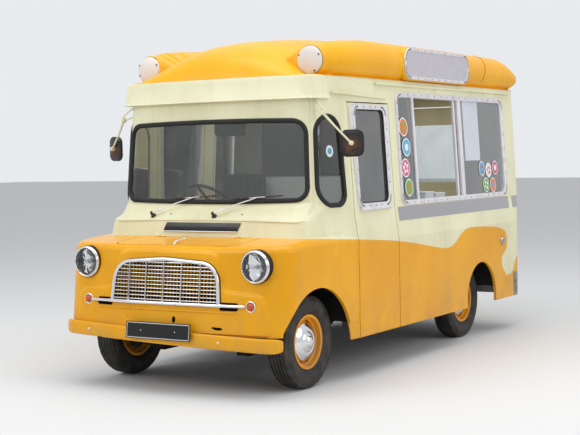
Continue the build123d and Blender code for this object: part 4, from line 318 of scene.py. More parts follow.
def tyre_rubber():
    """Black rubber with a fine grain under patches of dust."""
    m = Nodes("tyre_rubber")
    dust = m.ramp(m.noise(16.0, 6.0), 0.42, 0.72, 0.0, 0.42)
    m.link(m.mix(dust, lin(30, 29, 28), lin(104, 94, 78)), m.shader.inputs["Base Color"])
    m.link(m.math("ADD", 0.62, m.math("MULTIPLY", dust, 0.5), clamp=True), m.shader.inputs["Roughness"])
    m.bump((m.noise(420.0, 2.0), 0.25, 0.001))
    return m.mat


def treadplate():
    """Aluminium with crossed bars, dirty in patches."""
    m = Nodes("treadplate")
    bars = []
    for turn in (0.785, -0.785):
        spun = m.node("ShaderNodeMapping", Vector=m.coords, Rotation=(turn, 0.0, turn), Scale=(46.0,) * 3)
        cells = m.node("ShaderNodeTexVoronoi", "Distance", {"feature": "F1"}, Vector=spun, Scale=1.0,
                       Randomness=0.0)
        bars.append(m.ramp(cells, 0.40, 0.22))
    dirt = m.ramp(m.noise(9.0, 5.0), 0.38, 0.70)
    m.link(m.mix(dirt, lin(178, 176, 172), lin(112, 104, 94)), m.shader.inputs["Base Color"])
    m.link(m.math("SUBTRACT", 0.85, m.math("MULTIPLY", dirt, 0.5)), m.shader.inputs["Metallic"])
    m.link(m.ramp(m.noise(30.0, 3.0), 0.3, 0.7, 0.32, 0.62), m.shader.inputs["Roughness"])
    m.bump((m.math("MAXIMUM", *bars), 0.8, 0.003))
    return m.mat


RUST_AT = (1.005, -1.30, 1.60)


def mirror_back():
    """Black enamel with a patch of rust at its middle."""
    m = Nodes("mirror_back")
    x, y, z = m.xyz()
    one_side = m.node("ShaderNodeCombineXYZ", X=m.math("ABSOLUTE", x), Y=y, Z=z)
    far = m.node("ShaderNodeVectorMath", "Value", {"operation": "DISTANCE"}, i0=one_side, i1=RUST_AT)
    rust = m.math("MULTIPLY", m.ramp(far, 0.075, 0.01), m.ramp(m.noise(38.0, 5.0), 0.38, 0.55), clamp=True)
    m.link(m.mix(rust, lin(20, 20, 21), lin(112, 64, 34)), m.shader.inputs["Base Color"])
    m.link(m.math("ADD", 0.30, m.math("MULTIPLY", rust, 0.5)), m.shader.inputs["Roughness"])
    m.bump((m.noise(120.0, 3.0), 0.15, 0.001))
    return m.mat


MAT.update(tyre=tyre_rubber(), treadplate=treadplate(), mirror=mirror_back())
WEARS = {
    "yellow": "bonnet front_bumper",
    "two_tone": "side_left side_right door_left door_right rear_panel rear_door front_end",
    "cream": "cab_front head_band",
    "roof": "roof",
    "frame": "window_frames door_left_frame door_right_frame wipers",
    "side_glass": "body_glass door_left_glass door_right_glass rear_door_glass",
    "glass": "cab_glass headlamp_lenses",
    "rubber": "window_seals",
    "chrome": "headlamps grille_surround",
    "grille": "grille",
    "polished": "bright_trim",
    "treadplate": "rear_step",
    "plate": "number_plates",
    "lens_red": "tail_lamps",
    "lens_amber": "indicators",
    "white_plastic": "roof_lamps",
    "sign": "roof_signs",
    "mirror": "mirrors",
    "underside": "chassis_frame front_suspension rear_axle leaf_springs fuel_tank wheel_housings",
    "iron": "engine knuckle_left knuckle_right",
    "steel_dark": "exhaust",
    "floor": "floor",
    "grey": "bulkhead dashboard",
    "enamel": "freezer_cabinet serving_counter",
    "leather": "driver_seat",
    "black": "steering_column steering_wheel",
    "wheel": "wheel_front_left wheel_front_right wheel_rear_left wheel_rear_right",
    "tyre": "tyre_front_left tyre_front_right tyre_rear_left tyre_rear_right",
}
for finish, names in WEARS.items():
    for node in names.split():
        NODES[node].data.materials.clear()
        NODES[node].data.materials.append(MAT[finish])

# Helpers for shapes

FRONT = Vector((0, -1, 0))
LEFT = Vector((1, 0, 0))
CIRCLE = 2 * math.pi


def smooth(t):
    t = max(0.0, min(1.0, t))
    return t * t * (3 - 2 * t)


def quads(rows, count, around=True, rejoin=False):
    """Faces of points held row by row: each row comes round, unless told not to, and so may the rows."""
    faces = []
    for i in range(rows if rejoin else rows - 1):
        q = (i + 1) % rows
        for j in range(count if around else count - 1):
            m = (j + 1) % count
            faces.append((i * count + j, i * count + m, q * count + m, q * count + j))
    return faces


def ends(rows, count):
    """Faces that close the first and the last row of such a grid."""
    return [tuple(range(count)), tuple(range((rows - 1) * count, rows * count))]


def skin_tree(*names):
    """Surfaces of these nodes, for seating a piece on what carries it."""
    verts, polys = [], []
    for name in names:
        mesh = NODES[name].data
        base = len(verts)
        verts += [v.co.copy() for v in mesh.vertices]
        polys += [[base + i for i in p.vertices] for p in mesh.polygons]
    return BVHTree.FromPolygons(verts, polys)


def cast(tree, start, way, far=6.0):
    spot = tree.ray_cast(Vector(start), Vector(way).normalized(), far)
    if spot[0] is None:
        return None, None
    normal = spot[1]
    if normal.dot(Vector(way)) > 0:
        normal = -normal
    return spot[0], normal


def piece(name, verts, faces, mat, body="vehicle", sharp=35.0):
    mesh = bpy.data.meshes.new(name)
    mesh.from_pydata([tuple(v) for v in verts], [], [tuple(f) for f in faces])
    bm = bmesh.new()
    bm.from_mesh(mesh)
    bmesh.ops.remove_doubles(bm, verts=bm.verts, dist=1e-6)
    bmesh.ops.dissolve_degenerate(bm, edges=bm.edges, dist=1e-7)
    bmesh.ops.recalc_face_normals(bm, faces=bm.faces)
    bm.to_mesh(mesh)
    bm.free()
    for p in mesh.polygons:
        p.use_smooth = True
    mesh.set_sharp_from_angle(angle=math.radians(sharp))
    mesh.materials.append(MAT[mat])
    o = bpy.data.objects.new(name, mesh)
    bpy.context.collection.objects.link(o)
    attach(o, body)
    return o


class Shape:
    """Vertices and faces of one piece, gathered from several closed forms."""

    def __init__(self):
        self.verts, self.faces = [], []

    def put(self, verts, faces):
        base = len(self.verts)
        self.verts += [Vector(v) for v in verts]
        self.faces += [tuple(base + i for i in f) for f in faces]
        return self

    def done(self, name, mat, body="vehicle", sharp=35.0, slot=None, mirror=False):
        if mirror:
            self.put([(-v.x, v.y, v.z) for v in self.verts], list(self.faces))
        return piece(name, self.verts, self.faces, mat, body, sharp)

    def sweep(self, path, ups, section, closed=False):
        """One section of (across, up) pairs, or one for each point, carried along a path."""
        n = len(path)
        sections = section if isinstance(section[0][0], (tuple, list)) else [section] * n
        verts = []
        for i, p in enumerate(path):
            a = path[(i - 1) % n] if closed or i else p
            b = path[(i + 1) % n] if closed or i < n - 1 else p
            along = (b - a).normalized()
            up = ups[i] - along * ups[i].dot(along)
            up.normalize()
            across = along.cross(up)
            verts += [p + across * s + up * t for s, t in sections[i]]
        k = len(sections[0])
        return self.put(verts, quads(n, k, rejoin=closed) + ([] if closed else ends(n, k)))

    def tube(self, path, radius, sides=12, closed=False):
        radii = radius if isinstance(radius, (list, tuple)) else [radius] * len(path)
        ups, up = [], Vector((0.31, 0.17, 0.93)).normalized()
        for i in range(len(path)):
            along = (path[min(i + 1, len(path) - 1)] - path[max(i - 1, 0)]).normalized()
            side = up - along * up.dot(along)
            up = side.normalized() if side.length > 1e-4 else along.orthogonal().normalized()
            ups.append(up)
        return self.sweep(path, ups, [ellipse(r, r, sides) for r in radii], closed)

    def spin(self, profile, centre, axis, steps=64):
        """Closed outline of (radius, along) turned about an axis through the centre."""
        axis = Vector(axis).normalized()
        side = axis.orthogonal().normalized()
        other = axis.cross(side)
        verts = []
        for i in range(steps):
            out = side * math.cos(CIRCLE * i / steps) + other * math.sin(CIRCLE * i / steps)
            verts += [Vector(centre) + out * r + axis * a for r, a in profile]
        k = len(profile)
        off_axis = [r >= 1e-6 for r, _ in profile]
        faces = [f for f in quads(steps, k, rejoin=True) if off_axis[f[0] % k] or off_axis[f[1] % k]]
        return self.put(verts, faces)

    def plate(self, outline, origin, right, out, low, high, edge=0.0):
        """Flat outline of (right, up) pairs raised between two heights, its upper edge eased."""
        right, out = Vector(right).normalized(), Vector(out).normalized()
        up = out.cross(right)
        n = len(outline)
        cx = sum(p[0] for p in outline) / n
        cy = sum(p[1] for p in outline) / n
        span = max(max(abs(p[0] - cx), abs(p[1] - cy)) for p in outline)
        rings = [(1.0, low), (1.0, high - edge)] + ([(1.0 - edge / span, high)] if edge else [])
        verts = [Vector(origin) + right * (cx + (a - cx) * scale) + up * (cy + (b - cy) * scale) + out * height
                 for scale, height in rings for a, b in outline]
        return self.put(verts, quads(len(rings), n) + ends(len(rings), n))

    def sheet(self, top, under, count):
        """Two sheets of points, each in rows of count, joined round their rim."""
        rows, size = len(top) // count, len(top)
        faces = quads(rows, count, around=False)
        faces += [tuple(size + v for v in reversed(f)) for f in faces]
        rim = list(range(count)) + [i * count + count - 1 for i in range(1, rows)]
        rim += [size - 1 - j for j in range(1, count)] + [i * count for i in range(rows - 2, 0, -1)]
        faces += [(a, b, size + b, size + a) for a, b in zip(rim, rim[1:] + rim[:1])]
        return self.put(list(top) + list(under), faces)


def round_path(points, radii, closed=True, step=8.0):
    """Polygon with a radius at each corner, as a list of points."""
    out = []
    n = len(points)
    for i, (p, r) in enumerate(zip(points, radii)):
        if not closed and i in (0, n - 1):
            out.append(tuple(p))
            continue
        a, b, c = Vector(points[i - 1]), Vector(p), Vector(points[(i + 1) % n])
        u, v = (a - b).normalized(), (c - b).normalized()
        half = math.acos(max(-1, min(1, u.dot(v)))) / 2
        cut = r / math.tan(half)
        cut = min(cut, (a - b).length * 0.49, (c - b).length * 0.49)
        radius = cut * math.tan(half)
        centre = b + (u + v).normalized() * (radius / math.sin(half))
        start, end = b + u * cut, b + v * cut
        a0 = math.atan2(start.y - centre.y, start.x - centre.x)
        a1 = math.atan2(end.y - centre.y, end.x - centre.x)
        turn = (a1 - a0 + math.pi) % (2 * math.pi) - math.pi
        steps = max(2, int(abs(turn) / math.radians(step)))
        angles = [a0 + turn * k / steps for k in range(steps + 1)]
        out += [(centre.x + radius * math.cos(a), centre.y + radius * math.sin(a)) for a in angles]
    return out


def dense(points, gap, closed=False):
    """The same line with points no further apart than gap."""
    out = []
    n = len(points)
    for i in range(n if closed else n - 1):
        a, b = Vector(points[i]), Vector(points[(i + 1) % n])
        steps = max(1, int(math.ceil((b - a).length / gap)))
        out += [tuple(a.lerp(b, k / steps)) for k in range(steps)]
    if not closed:
        out.append(tuple(points[-1]))
    return out


def ellipse(rx, ry, n=24):
    return [(rx * math.cos(CIRCLE * i / n), ry * math.sin(CIRCLE * i / n)) for i in range(n)]


def rounded_box(half_wide, half_high, radius, step=8.0):
    corners = [(-1, -1), (1, -1), (1, 1), (-1, 1)]
    return round_path([(a * half_wide, b * half_high) for a, b in corners], [radius] * 4, step=step)


def dome_section(half, height, base=0.0, n=9):
    """D-shaped section: flat underneath, rounded on top."""
    arc = [math.pi * i / n for i in range(n + 1)]
    dome = [(-half * math.cos(t), base + (height - base) * (0.35 + 0.65 * math.sin(t))) for t in arc]
    return [(-half, base)] + dome + [(half, base)]


def strap_section(half, top_half, foot, shoulder, height):
    """Flat band with its two upper edges cut off."""
    return [(-half, foot), (half, foot), (half, shoulder), (top_half, height), (-top_half, height),
            (-half, shoulder)]


def spaced(low, high, steps):
    """Evenly spaced numbers from low to high."""
    return [low + (high - low) * k / steps for k in range(steps + 1)]


def on_side(p, side):
    """The same place, or its mirror image on the right side where side is -1."""
    return Vector((p.x * side, p.y, p.z))


def screw_head(shape, place, normal, radius=0.004, height=0.002):
    profile = [(0, -0.001), (radius, -0.001), (radius, height * 0.4), (radius * 0.6, height), (0, height)]
    shape.spin(profile, place, normal, 10)


# The side wall leans in evenly above the shelf; the cab's front part also narrows
WALL_HALF = 0.861
LEAN_FROM = 1.2
WALL_SLOPE = 0.0594
CAB_FROM = -1.012
CAB_BOW = 0.048
NARROWING = 0.050
NARROW_LENGTH = 0.393
LEAN_HEIGHT = 0.875
CAB_TOP_Y = -1.405
WALL_LEAN = math.atan(WALL_SLOPE)
WALL_OUT = Vector((math.cos(WALL_LEAN), 0, math.sin(WALL_LEAN)))
WALL_UP = Vector((-math.sin(WALL_LEAN), 0, math.cos(WALL_LEAN)))
NARROW = math.atan2(NARROWING, 0.443)
QUARTER_ALONG = Vector((math.sin(NARROW), math.cos(NARROW), 0))
QUARTER_OUT = Vector((math.cos(NARROW), -math.sin(NARROW), math.cos(NARROW) * WALL_SLOPE)).normalized()
QUARTER_UP = QUARTER_OUT.cross(QUARTER_ALONG)


def on_wall(y, z, out=0.0):
    """Point on the left side wall by its place along the truck and its height."""
    rise = (z - LEAN_FROM) / math.cos(WALL_LEAN)
    return Vector((WALL_HALF, y, LEAN_FROM)) + WALL_UP * rise + WALL_OUT * out


def on_quarter(a, z, out=0.0):
    """Point on the cab's narrowing wall by its distance from where that wall starts."""
    rise = (z - LEAN_FROM) / math.cos(WALL_LEAN)
    corner = Vector((WALL_HALF, CAB_FROM, LEAN_FROM))
    return corner + QUARTER_ALONG * a + QUARTER_UP * rise + QUARTER_OUT * out


# Nose: pressed panel

nose = skin_tree("front_end", "bonnet")


def nose_at(x, z, out=0.0):
    """Point on the nose's front by its place across and height, and the surface's direction."""
    spot, normal = cast(nose, (x, -3.0, z), (0, 1, 0))
    if spot is None:
        return None, None
    return spot + normal * out, normal


PRESSING = [(0.0, 0.950), (0.28, 0.947), (0.36, 0.936), (0.405, 0.912), (0.425, 0.870), (0.433, 0.813),
            (0.445, 0.745), (0.458, 0.712), (0.480, 0.696), (0.52, 0.690), (0.60, 0.686), (0.69, 0.680),
            (0.738, 0.664), (0.764, 0.632), (0.778, 0.575), (0.785, 0.50), (0.788, 0.405)]


def inside_by(x, z):
    """Distance from a point to the pressing's edge, positive inside; its foot is open."""
    ax = abs(x)
    best = 9.0
    crossings = 0
    for (x0, z0), (x1, z1) in zip(PRESSING, PRESSING[1:]):
        dx, dz = x1 - x0, z1 - z0
        t = max(0.0, min(1.0, ((ax - x0) * dx + (z - z0) * dz) / (dx * dx + dz * dz)))
        best = min(best, math.hypot(ax - x0 - dx * t, z - z0 - dz * t))
        if (z0 > z) != (z1 > z) and ax < x0 + (z - z0) * dx / dz:
            crossings += 1
    return best if crossings % 2 and z <= PRESSING[0][1] else -best


PRESS_STEP = 0.0085
press = Shape()
columns = [-0.80 + PRESS_STEP * i for i in range(int(1.60 / PRESS_STEP) + 2)]
rows = [0.404 + PRESS_STEP * i for i in range(int(0.56 / PRESS_STEP) + 1)]
grid = {}
for i, x in enumerate(columns):
    for j, z in enumerate(rows):
        deep = inside_by(x, z)
        if deep < -0.010:
            continue
        spot, normal = nose_at(x, z)
        if spot is None or normal.y > -0.25:
            continue
        rise = -0.0012 + 0.0165 * smooth((deep + 0.004) / 0.030)
        grid[i, j] = (spot + normal * rise, spot - normal * 0.004)
used = {}
verts, faces = [], []


def corner(i, j, layer):
    key = (i, j, layer)
    if key not in used:
        used[key] = len(verts)
        verts.append(grid[i, j][layer])
    return used[key]


cells = {(i, j) for (i, j) in grid if (i + 1, j) in grid and (i, j + 1) in grid and (i + 1, j + 1) in grid}
for i, j in cells:
    ring = [(i, j), (i + 1, j), (i + 1, j + 1), (i, j + 1)]
    faces.append([corner(a, b, 0) for a, b in ring])
    faces.append([corner(a, b, 1) for a, b in reversed(ring)])
    for k, (di, dj) in enumerate([(0, -1), (1, 0), (0, 1), (-1, 0)]):
        if (i + di, j + dj) not in cells:
            a, b = ring[k], ring[(k + 1) % 4]
            faces.append([corner(*a, 0), corner(*a, 1), corner(*b, 1), corner(*b, 0)])
press.put(verts, faces)
press.done("nose_pressing", "yellow", slot="yellow_paint", sharp=60)

# Height of the pressing's face over the nose
PRESSED = 0.0153

# Grille: a dark sheet painted as the shade behind it, pierced yellow panel, rounded bars with feet, arch and
# long bar
FOOT_HALF = 0.431
FOOT_Z = 0.594
SHOULDER_HALF = 0.408
SHOULDER_Z = 0.850
CROWN_Z = 0.880
ARCH = [(-FOOT_HALF, FOOT_Z), (-SHOULDER_HALF, SHOULDER_Z), (0.0, CROWN_Z), (SHOULDER_HALF, SHOULDER_Z),
        (FOOT_HALF, FOOT_Z)]
ARCH = dense(round_path(ARCH, [0, 0.135, 0.9, 0.135, 0], closed=False, step=5.0), 0.02)


def in_arch(x, z, margin):
    """Whether a place on the nose is inside the arch by a margin."""
    ax = abs(x)
    side = FOOT_HALF + (SHOULDER_HALF - FOOT_HALF) * (z - FOOT_Z) / 0.268 - margin
    top = CROWN_Z - 0.030 * (ax / SHOULDER_HALF) ** 2 - margin
    if z < FOOT_Z + margin or ax > side or z > top:
        return False
    cx, cz = SHOULDER_HALF - 0.130, SHOULDER_Z - 0.128
    return ax <= cx or z <= cz or math.hypot(ax - cx, z - cz) < 0.133 - margin


# Dark sheet behind the pierced panel: painted shade of the space behind the grille
back = Shape()
CELL = 0.02
for x in [-0.42 + CELL * i for i in range(43)]:
    for z in [0.60 + CELL * i for i in range(15)]:
        quad = [(x, z), (x + CELL, z), (x + CELL, z + CELL), (x, z + CELL)]
        if all(in_arch(a, b, -0.004) for a, b in quad):
            verts = [nose_at(a, b, PRESSED + lift)[0] for lift in (0.0012, -0.004) for a, b in quad]
            back.put(verts, quads(2, 4) + ends(2, 4))
back.done("grille_shadow", "shadow")

pierced = Shape()
PITCH = 0.0262
HOLE = 0.0135
SIDES = 16
high, low = FRONT * (PRESSED + 0.0035), FRONT * (PRESSED + 0.0015)
for row in range(12):
    for column in range(-17, 17):
        x = column * PITCH + PITCH / 2
        z = 0.590 + row * PITCH + PITCH / 2
        if not in_arch(x, z, 0.004):
            continue
        outer, hole = [], []
        for k in range(SIDES):
            c, s = math.cos(CIRCLE * (k + 0.5) / SIDES), math.sin(CIRCLE * (k + 0.5) / SIDES)
            reach = PITCH / 2 / max(abs(c), abs(s))
            outer.append(nose_at(x + c * reach, z + s * reach)[0])
            hole.append(nose_at(x + HOLE * c, z + HOLE * s)[0])
        rings = [(outer, high), (hole, high), (hole, low), (outer, low)]
        pierced.put([p + up for ring, up in rings for p in ring], quads(4, SIDES, rejoin=True))
pierced.done("grille_pierced_panel", "yellow", slot="yellow_paint")

bars = Shape()
BAR_R = 0.0034
for row in range(11):
    z = 0.612 + 0.0243 * row
    reach = max([0.01 * n for n in range(44) if in_arch(0.01 * n, z, 0.004)] or [0])
    if reach >= 0.05:
        path = [nose_at(x, z, 0.0235)[0] for x in spaced(-reach, reach, 24)]
        bars.sweep(path, [FRONT] * 25, ellipse(BAR_R, BAR_R, 8))
for column in range(5):
    x = -FOOT_HALF + 2 * FOOT_HALF * (column + 1) / 6
    peak = max(0.60 + 0.005 * n for n in range(60) if in_arch(x, 0.60 + 0.005 * n, 0.004))
    path = [nose_at(x, z, 0.0290)[0] for z in spaced(0.600, peak, 16)]
    swells = [1.9, 1.25] + [1.1] * 15
    bars.sweep(path, [FRONT] * 17, [ellipse(BAR_R * swell, BAR_R * 1.1, 8) for swell in swells])
o = bars.done("grille_bars", "grille", slot="aluminium_trim")
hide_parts("grille")

arch = Shape()
path = [nose_at(x, z, PRESSED)[0] for x, z in ARCH]
normals = [nose_at(x, z)[1] for x, z in ARCH]
arch.sweep(path, normals, dome_section(0.0130, 0.022, 0.002, 12))
o = arch.done("grille_arch", "chrome", slot="aluminium_trim")
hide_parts("grille_surround")
gasket = Shape()
gasket.sweep(path, normals, strap_section(0.0160, 0.0150, -0.004, 0.0035, 0.0045))
gasket.done("grille_arch_seal", "rubber", slot="black_rubber")
bar = Shape()
BAR_Z = 0.590
BAR_HALF = 0.628
path, sections = [], []
for x in spaced(-BAR_HALF, BAR_HALF, 60):
    swell = min(1.0, (BAR_HALF - abs(x)) / 0.020 + 0.30) * (1.15 if abs(x) < 0.44 else 1.0)
    path.append(nose_at(x, BAR_Z, PRESSED + 0.0115)[0])
    sections.append(ellipse(0.0105 * swell, 0.0085 * swell, 14))
bar.sweep(path, [FRONT] * 61, sections)
for x in (-0.54, -0.43, 0.43, 0.54):
    spot = nose_at(x, BAR_Z, 0.0)[0]
    bar.tube([spot, spot + FRONT * (PRESSED + 0.008)], 0.006, 10)
bar.done("grille_bar", "chrome", slot="bright_chrome")

# Openings in the nose: dark plugs painted as the shade inside them
dark = Shape()


def opening(outline):
    """Dark plug painted as the shade inside an opening, from the nose's skin to just over the pressing."""
    n = len(outline)
    verts = [nose_at(x, z, height)[0] for height in (PRESSED + 0.0012, 0.0) for x, z in outline]
    dark.put(verts, quads(2, n) + ends(2, n))


channel = [(0.437, 0.560), (0.572, 0.560), (0.572, 0.612), (0.437, 0.612)]
channel = dense(round_path(channel, [0.008, 0.020, 0.020, 0.008]), 0.03, True)
for side in (-1, 1):
    opening([(side * x, z) for x, z in channel])
for x, z, rx, rz in ((0.089, 0.489, 0.013, 0.021), (0.43, 0.444, 0.033, 0.009), (0.40, 0.449, 0.018, 0.006)):
    opening([(x + a, z + b) for a, b in ellipse(rx, rz, 20)])
dark.done("nose_opening_shade", "shadow")

# Folded channel under the bar, and round blanking buttons
FOLD_Z = 0.549
FOLD_HALF = 0.575
BUTTONS = [(-0.594, 0.516), (0.557, 0.519), (-0.30, 0.503), (-0.575, 0.640), (0.600, 0.640), (-0.52, 0.628),
           (0.33, 0.560), (-0.28, 0.563), (0.18, 0.561)]
fold = Shape()
path, ups, sections = [], [], []
for x in spaced(-FOLD_HALF, FOLD_HALF, 50):
    end = (FOLD_HALF - abs(x)) / 0.02
    path.append(nose_at(x, FOLD_Z, PRESSED)[0])
    ups.append(nose_at(x, FOLD_Z)[1])
    sections.append([(a * min(1, end + 0.15), b * min(1, end + 0.1))
                     for a, b in dome_section(0.0075, 0.0075, -0.003, 8)])
fold.sweep(path, ups, sections)
for x, z in BUTTONS:
    spot, normal = nose_at(x, z, PRESSED)
    screw_head(fold, spot, normal, 0.0085, 0.0045)
fold.done("nose_fold_and_buttons", "yellow", slot="yellow_paint")

# Headlamps: gasket, stepped rim, shallow reflector, bulb cover and fluted lens
HEADLAMP_AT = Vector((0.688, -2.006, 0.844))
INDICATOR_AT = Vector((0.661, -2.035, 0.593))
LENS_R = 0.0905
LENS_RINGS = [0.0, 0.02, 0.038, 0.053, 0.066, 0.077, 0.086, LENS_R]
LENS_COUNT = 40
GASKET = [(0.100, -0.060), (0.1085, -0.060), (0.1085, -0.012), (0.106, -0.009), (0.100, -0.009)]
RIM = [(0.098, -0.050), (0.1055, -0.014), (0.1065, -0.008), (0.1050, -0.002), (0.1015, 0.0025),
       (0.0985, 0.0030), (0.0970, 0.0018), (0.0962, 0.0035), (0.0948, 0.0056), (0.0930, 0.0054),
       (0.0914, 0.0025), (LENS_R, -0.004), (0.0916, -0.010), (0.0916, -0.050)]
BULB = [(0, -0.034), (0.014, -0.033), (0.014, -0.020), (0.010, -0.012), (0.0, -0.009)]
FOOT = [(0.0, 0.045), (0.0, -0.045), (0.037, -0.045), (0.037, -0.020), (0.034, -0.017), (0.0, -0.017)]
BEZEL = [(0.0365, -0.020), (0.0372, -0.016), (0.0360, -0.012), (0.0330, -0.0095), (0.0295, -0.010),
         (0.0275, -0.013), (0.0275, -0.020)]
AMBER = [(0, -0.016), (0.0272, -0.016), (0.0272, -0.011), (0.0255, -0.0065), (0.0235, -0.0060),
         (0.0215, -0.0030), (0.0190, -0.0030), (0.0160, 0.0), (0.0130, -0.0003), (0.0095, 0.0018),
         (0.0, 0.0028)]
for side, tag in ((1, "left"), (-1, "right")):
    centre = on_side(HEADLAMP_AT, side)
    Shape().spin(GASKET, centre, FRONT, 72).done("headlamp_gasket_" + tag, "rubber", slot="black_rubber")
    rim = Shape().spin(RIM, centre, FRONT, 96)
    o = rim.done("headlamp_rim_" + tag, "chrome", slot="bright_chrome", sharp=50)
    if side > 0:
        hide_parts("headlamps")
    curve = [(0.0912 * math.sin(t), -0.0085 - 0.024 * math.cos(t)) for t in spaced(0.0, math.pi / 2, 10)]
    bowl = Shape().spin(curve + [(0.0912, -0.012), (0.0, -0.0345)], centre, FRONT, 64)
    bowl.done("headlamp_reflector_" + tag, "reflector", slot="bright_chrome", sharp=60)
    Shape().spin(BULB, centre, FRONT, 24).done("headlamp_bulb_" + tag, "enamel", slot="bright_chrome")
    verts = []
    for r, inner in [(r, False) for r in LENS_RINGS] + [(r, True) for r in reversed(LENS_RINGS)]:
        bulge = 0.0125 * (1 - (r / LENS_R) ** 2) - 0.004
        for a, b in ellipse(r, r, LENS_COUNT):
            flute = 0.0009 * math.cos(a / 0.0052 * math.pi) if r < 0.084 else 0.0
            verts.append(centre + Vector((a, -(bulge + (-0.003 if inner else flute)), b)))
    lens = Shape().put(verts, quads(2 * len(LENS_RINGS), LENS_COUNT))
    o = lens.done("headlamp_lens_" + tag, "lamp_glass", slot="lamp_glass", sharp=60)
    if side > 0:
        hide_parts("headlamp_lenses")

    # Indicators: rubber foot, bright bezel, ribbed dome
    spot = on_side(INDICATOR_AT, side)
    Shape().spin(FOOT, spot, FRONT, 40).done("indicator_foot_" + tag, "rubber", slot="black_rubber")
    bezel = Shape().spin(BEZEL, spot, FRONT, 48)
    bezel.done("indicator_bezel_" + tag, "chrome", slot="bright_chrome", sharp=60)
    o = Shape().spin(AMBER, spot, FRONT, 40).done("indicator_lens_" + tag, "lens_amber", slot="amber_lens")
    if side > 0:
        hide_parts("indicators")

# Bumper and number plates

BUMPER_HALF = 0.868
bumper_tree = skin_tree("front_bumper")
bumper = Shape()
tips = [0.835, 0.850, 0.862, BUMPER_HALF]
path, sections = [], []
for x in [-x for x in reversed(tips)] + spaced(-0.81, 0.81, 54) + tips:
    spot = cast(bumper_tree, (max(-0.862, min(0.862, x)), -3.0, 0.361), (0, 1, 0))[0]
    end = max(0.0, BUMPER_HALF - abs(x))
    full = math.sqrt(max(0.0, 1 - (1 - min(end, 0.045) / 0.045) ** 2))
    tall = 0.047 * (0.62 + 0.38 * full)
    path.append(Vector((x, spot.y + 0.012 + 0.018 * (1 - full), 0.376 - 0.026 * x / BUMPER_HALF)))
    outline = []
    for c, s in ellipse(1.0, 1.0, 24):
        a = tall * math.copysign(abs(c) ** 0.55, c)
        b = 0.0125 * math.copysign(abs(s) ** 0.8, s) * (0.35 + 0.65 * full)
        outline.append((a, b * (1.0 if s > 0 else 1.3)))
    sections.append(outline)
bumper.sweep(path, [FRONT] * len(path), sections)
o = bumper.done("front_bumper_blade", "yellow", slot="yellow_paint", sharp=70)
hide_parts("front_bumper")
blade = BVHTree.FromPolygons([v.copy() for v in bumper.verts], [list(f) for f in bumper.faces])
bolts = Shape()
for x, z, big in ((-0.615, 0.396, 0.009), (0.455, 0.363, 0.009), (-0.50, 0.402, 0.0035)):
    spot, normal = cast(blade, (x, -3.0, z), (0, 1, 0))
    bolts.spin([(0, -0.004), (big, -0.004), (big, 0.001), (big * 0.8, 0.004), (0, 0.0055)], spot, normal, 16)
bolts.done("bumper_bolts", "chrome", slot="bright_chrome")
brackets = Shape()
for x in (-0.52, 0.52):
    for z in (0.345, 0.380):
        brackets.tube([Vector((x, -2.085, z)), Vector((x * 0.98, -1.96, z))], 0.012, 10)
brackets.done("bumper_brackets", "underside", slot="frame_paint")


PLATE_HALF = (0.2515, 0.0478)


def plate_edge(name, centre, look):
    """Narrow raised border near the plate's edge with two screws, on the plate's own face."""
    border = Shape()

    def on_plate(a, b):
        return cast(plate_tree, (centre[0] + a, centre[1] - look, centre[2] + b), (0, look, 0))

    line = rounded_box(*PLATE_HALF, 0.006, step=20.0)
    path = [on_plate(a, b)[0] for a, b in line]
    ups = [on_plate(a, b)[1] for a, b in line]
    border.sweep(path, ups, strap_section(0.0026, 0.0016, -0.001, 0.0003, 0.0006), closed=True)
    for a in (-PLATE_HALF[0] * 0.55, PLATE_HALF[0] * 0.55):
        spot, normal = on_plate(a, 0.0)
        screw_head(border, spot - normal * 0.0012, normal, 0.0055, 0.0018)
    border.done(name, "plate_edge", slot="aluminium_trim")


plate_tree = skin_tree("number_plates")
plate_edge("front_plate_border", (0, -2.12, 0.417), 0.4)
plate_edge("rear_plate_border", (0, 1.99, 0.385), -0.4)

# Scuttle: blank badge strip, bead, screws, wipers, bonnet handle

cab = skin_tree("cab_front", "front_end", "bonnet", "window_seals")
screen = skin_tree("cab_front", "cab_glass", "window_seals")


def cab_at(x, z, out=0.0, tree=cab):
    """Point on the cab's front by its place across and height, and the surface's direction."""
    spot, normal = cast(tree, (x, -3.0, z), (0, 1, 0))
    return spot + normal * out, normal


xs = spaced(-0.306, 0.306, 24)
top, under = [], []
for z, puff in ((1.036, 0.0060), (1.050, 0.0085), (1.080, 0.0085), (1.094, 0.0060)):
    slide = 0.012 * (z - 1.065) / 0.029
    for x in xs:
        p, n = cab_at(x + slide, z)
        top.append(p + n * puff)
        under.append(p - n * 0.002)
strip = Shape().sheet(top, under, len(xs))
strip.done("badge_strip", "black", slot="black_paint", sharp=25)
lip = Shape()
path = [cab_at(x - 0.012, 1.0345, 0.005)[0] for x in xs]
lip.sweep(path, [cab_at(x, 1.036)[1] for x in xs], dome_section(0.0042, 0.0065, -0.003, 8))
lip.done("badge_strip_lip", "chrome", slot="bright_chrome")

BEAD_HALF = 0.775
BEAD_Z = 1.118
bead = Shape()
path, ups, sections = [], [], []
for x in spaced(-BEAD_HALF, BEAD_HALF, 60):
    path.append(cab_at(x, BEAD_Z - 0.012 * (abs(x) / BEAD_HALF) ** 2)[0])
    ups.append(cab_at(x, BEAD_Z)[1])
    end = min(1.0, 0.05 + (BEAD_HALF - abs(x)) / 0.04)
    sections.append([(a * end, b * end) for a, b in dome_section(0.012, 0.0040, -0.002, 8)])
bead.sweep(path, ups, sections)
bead.done("scuttle_bead", "cream", slot="cream_paint", sharp=70)
screws = Shape()
for x in (-0.295, 0.300):
    spot, normal = cab_at(x, 1.150)
    screw_head(screws, spot, normal, 0.0065, 0.003)
screws.done("scuttle_screws", "steel_dark")

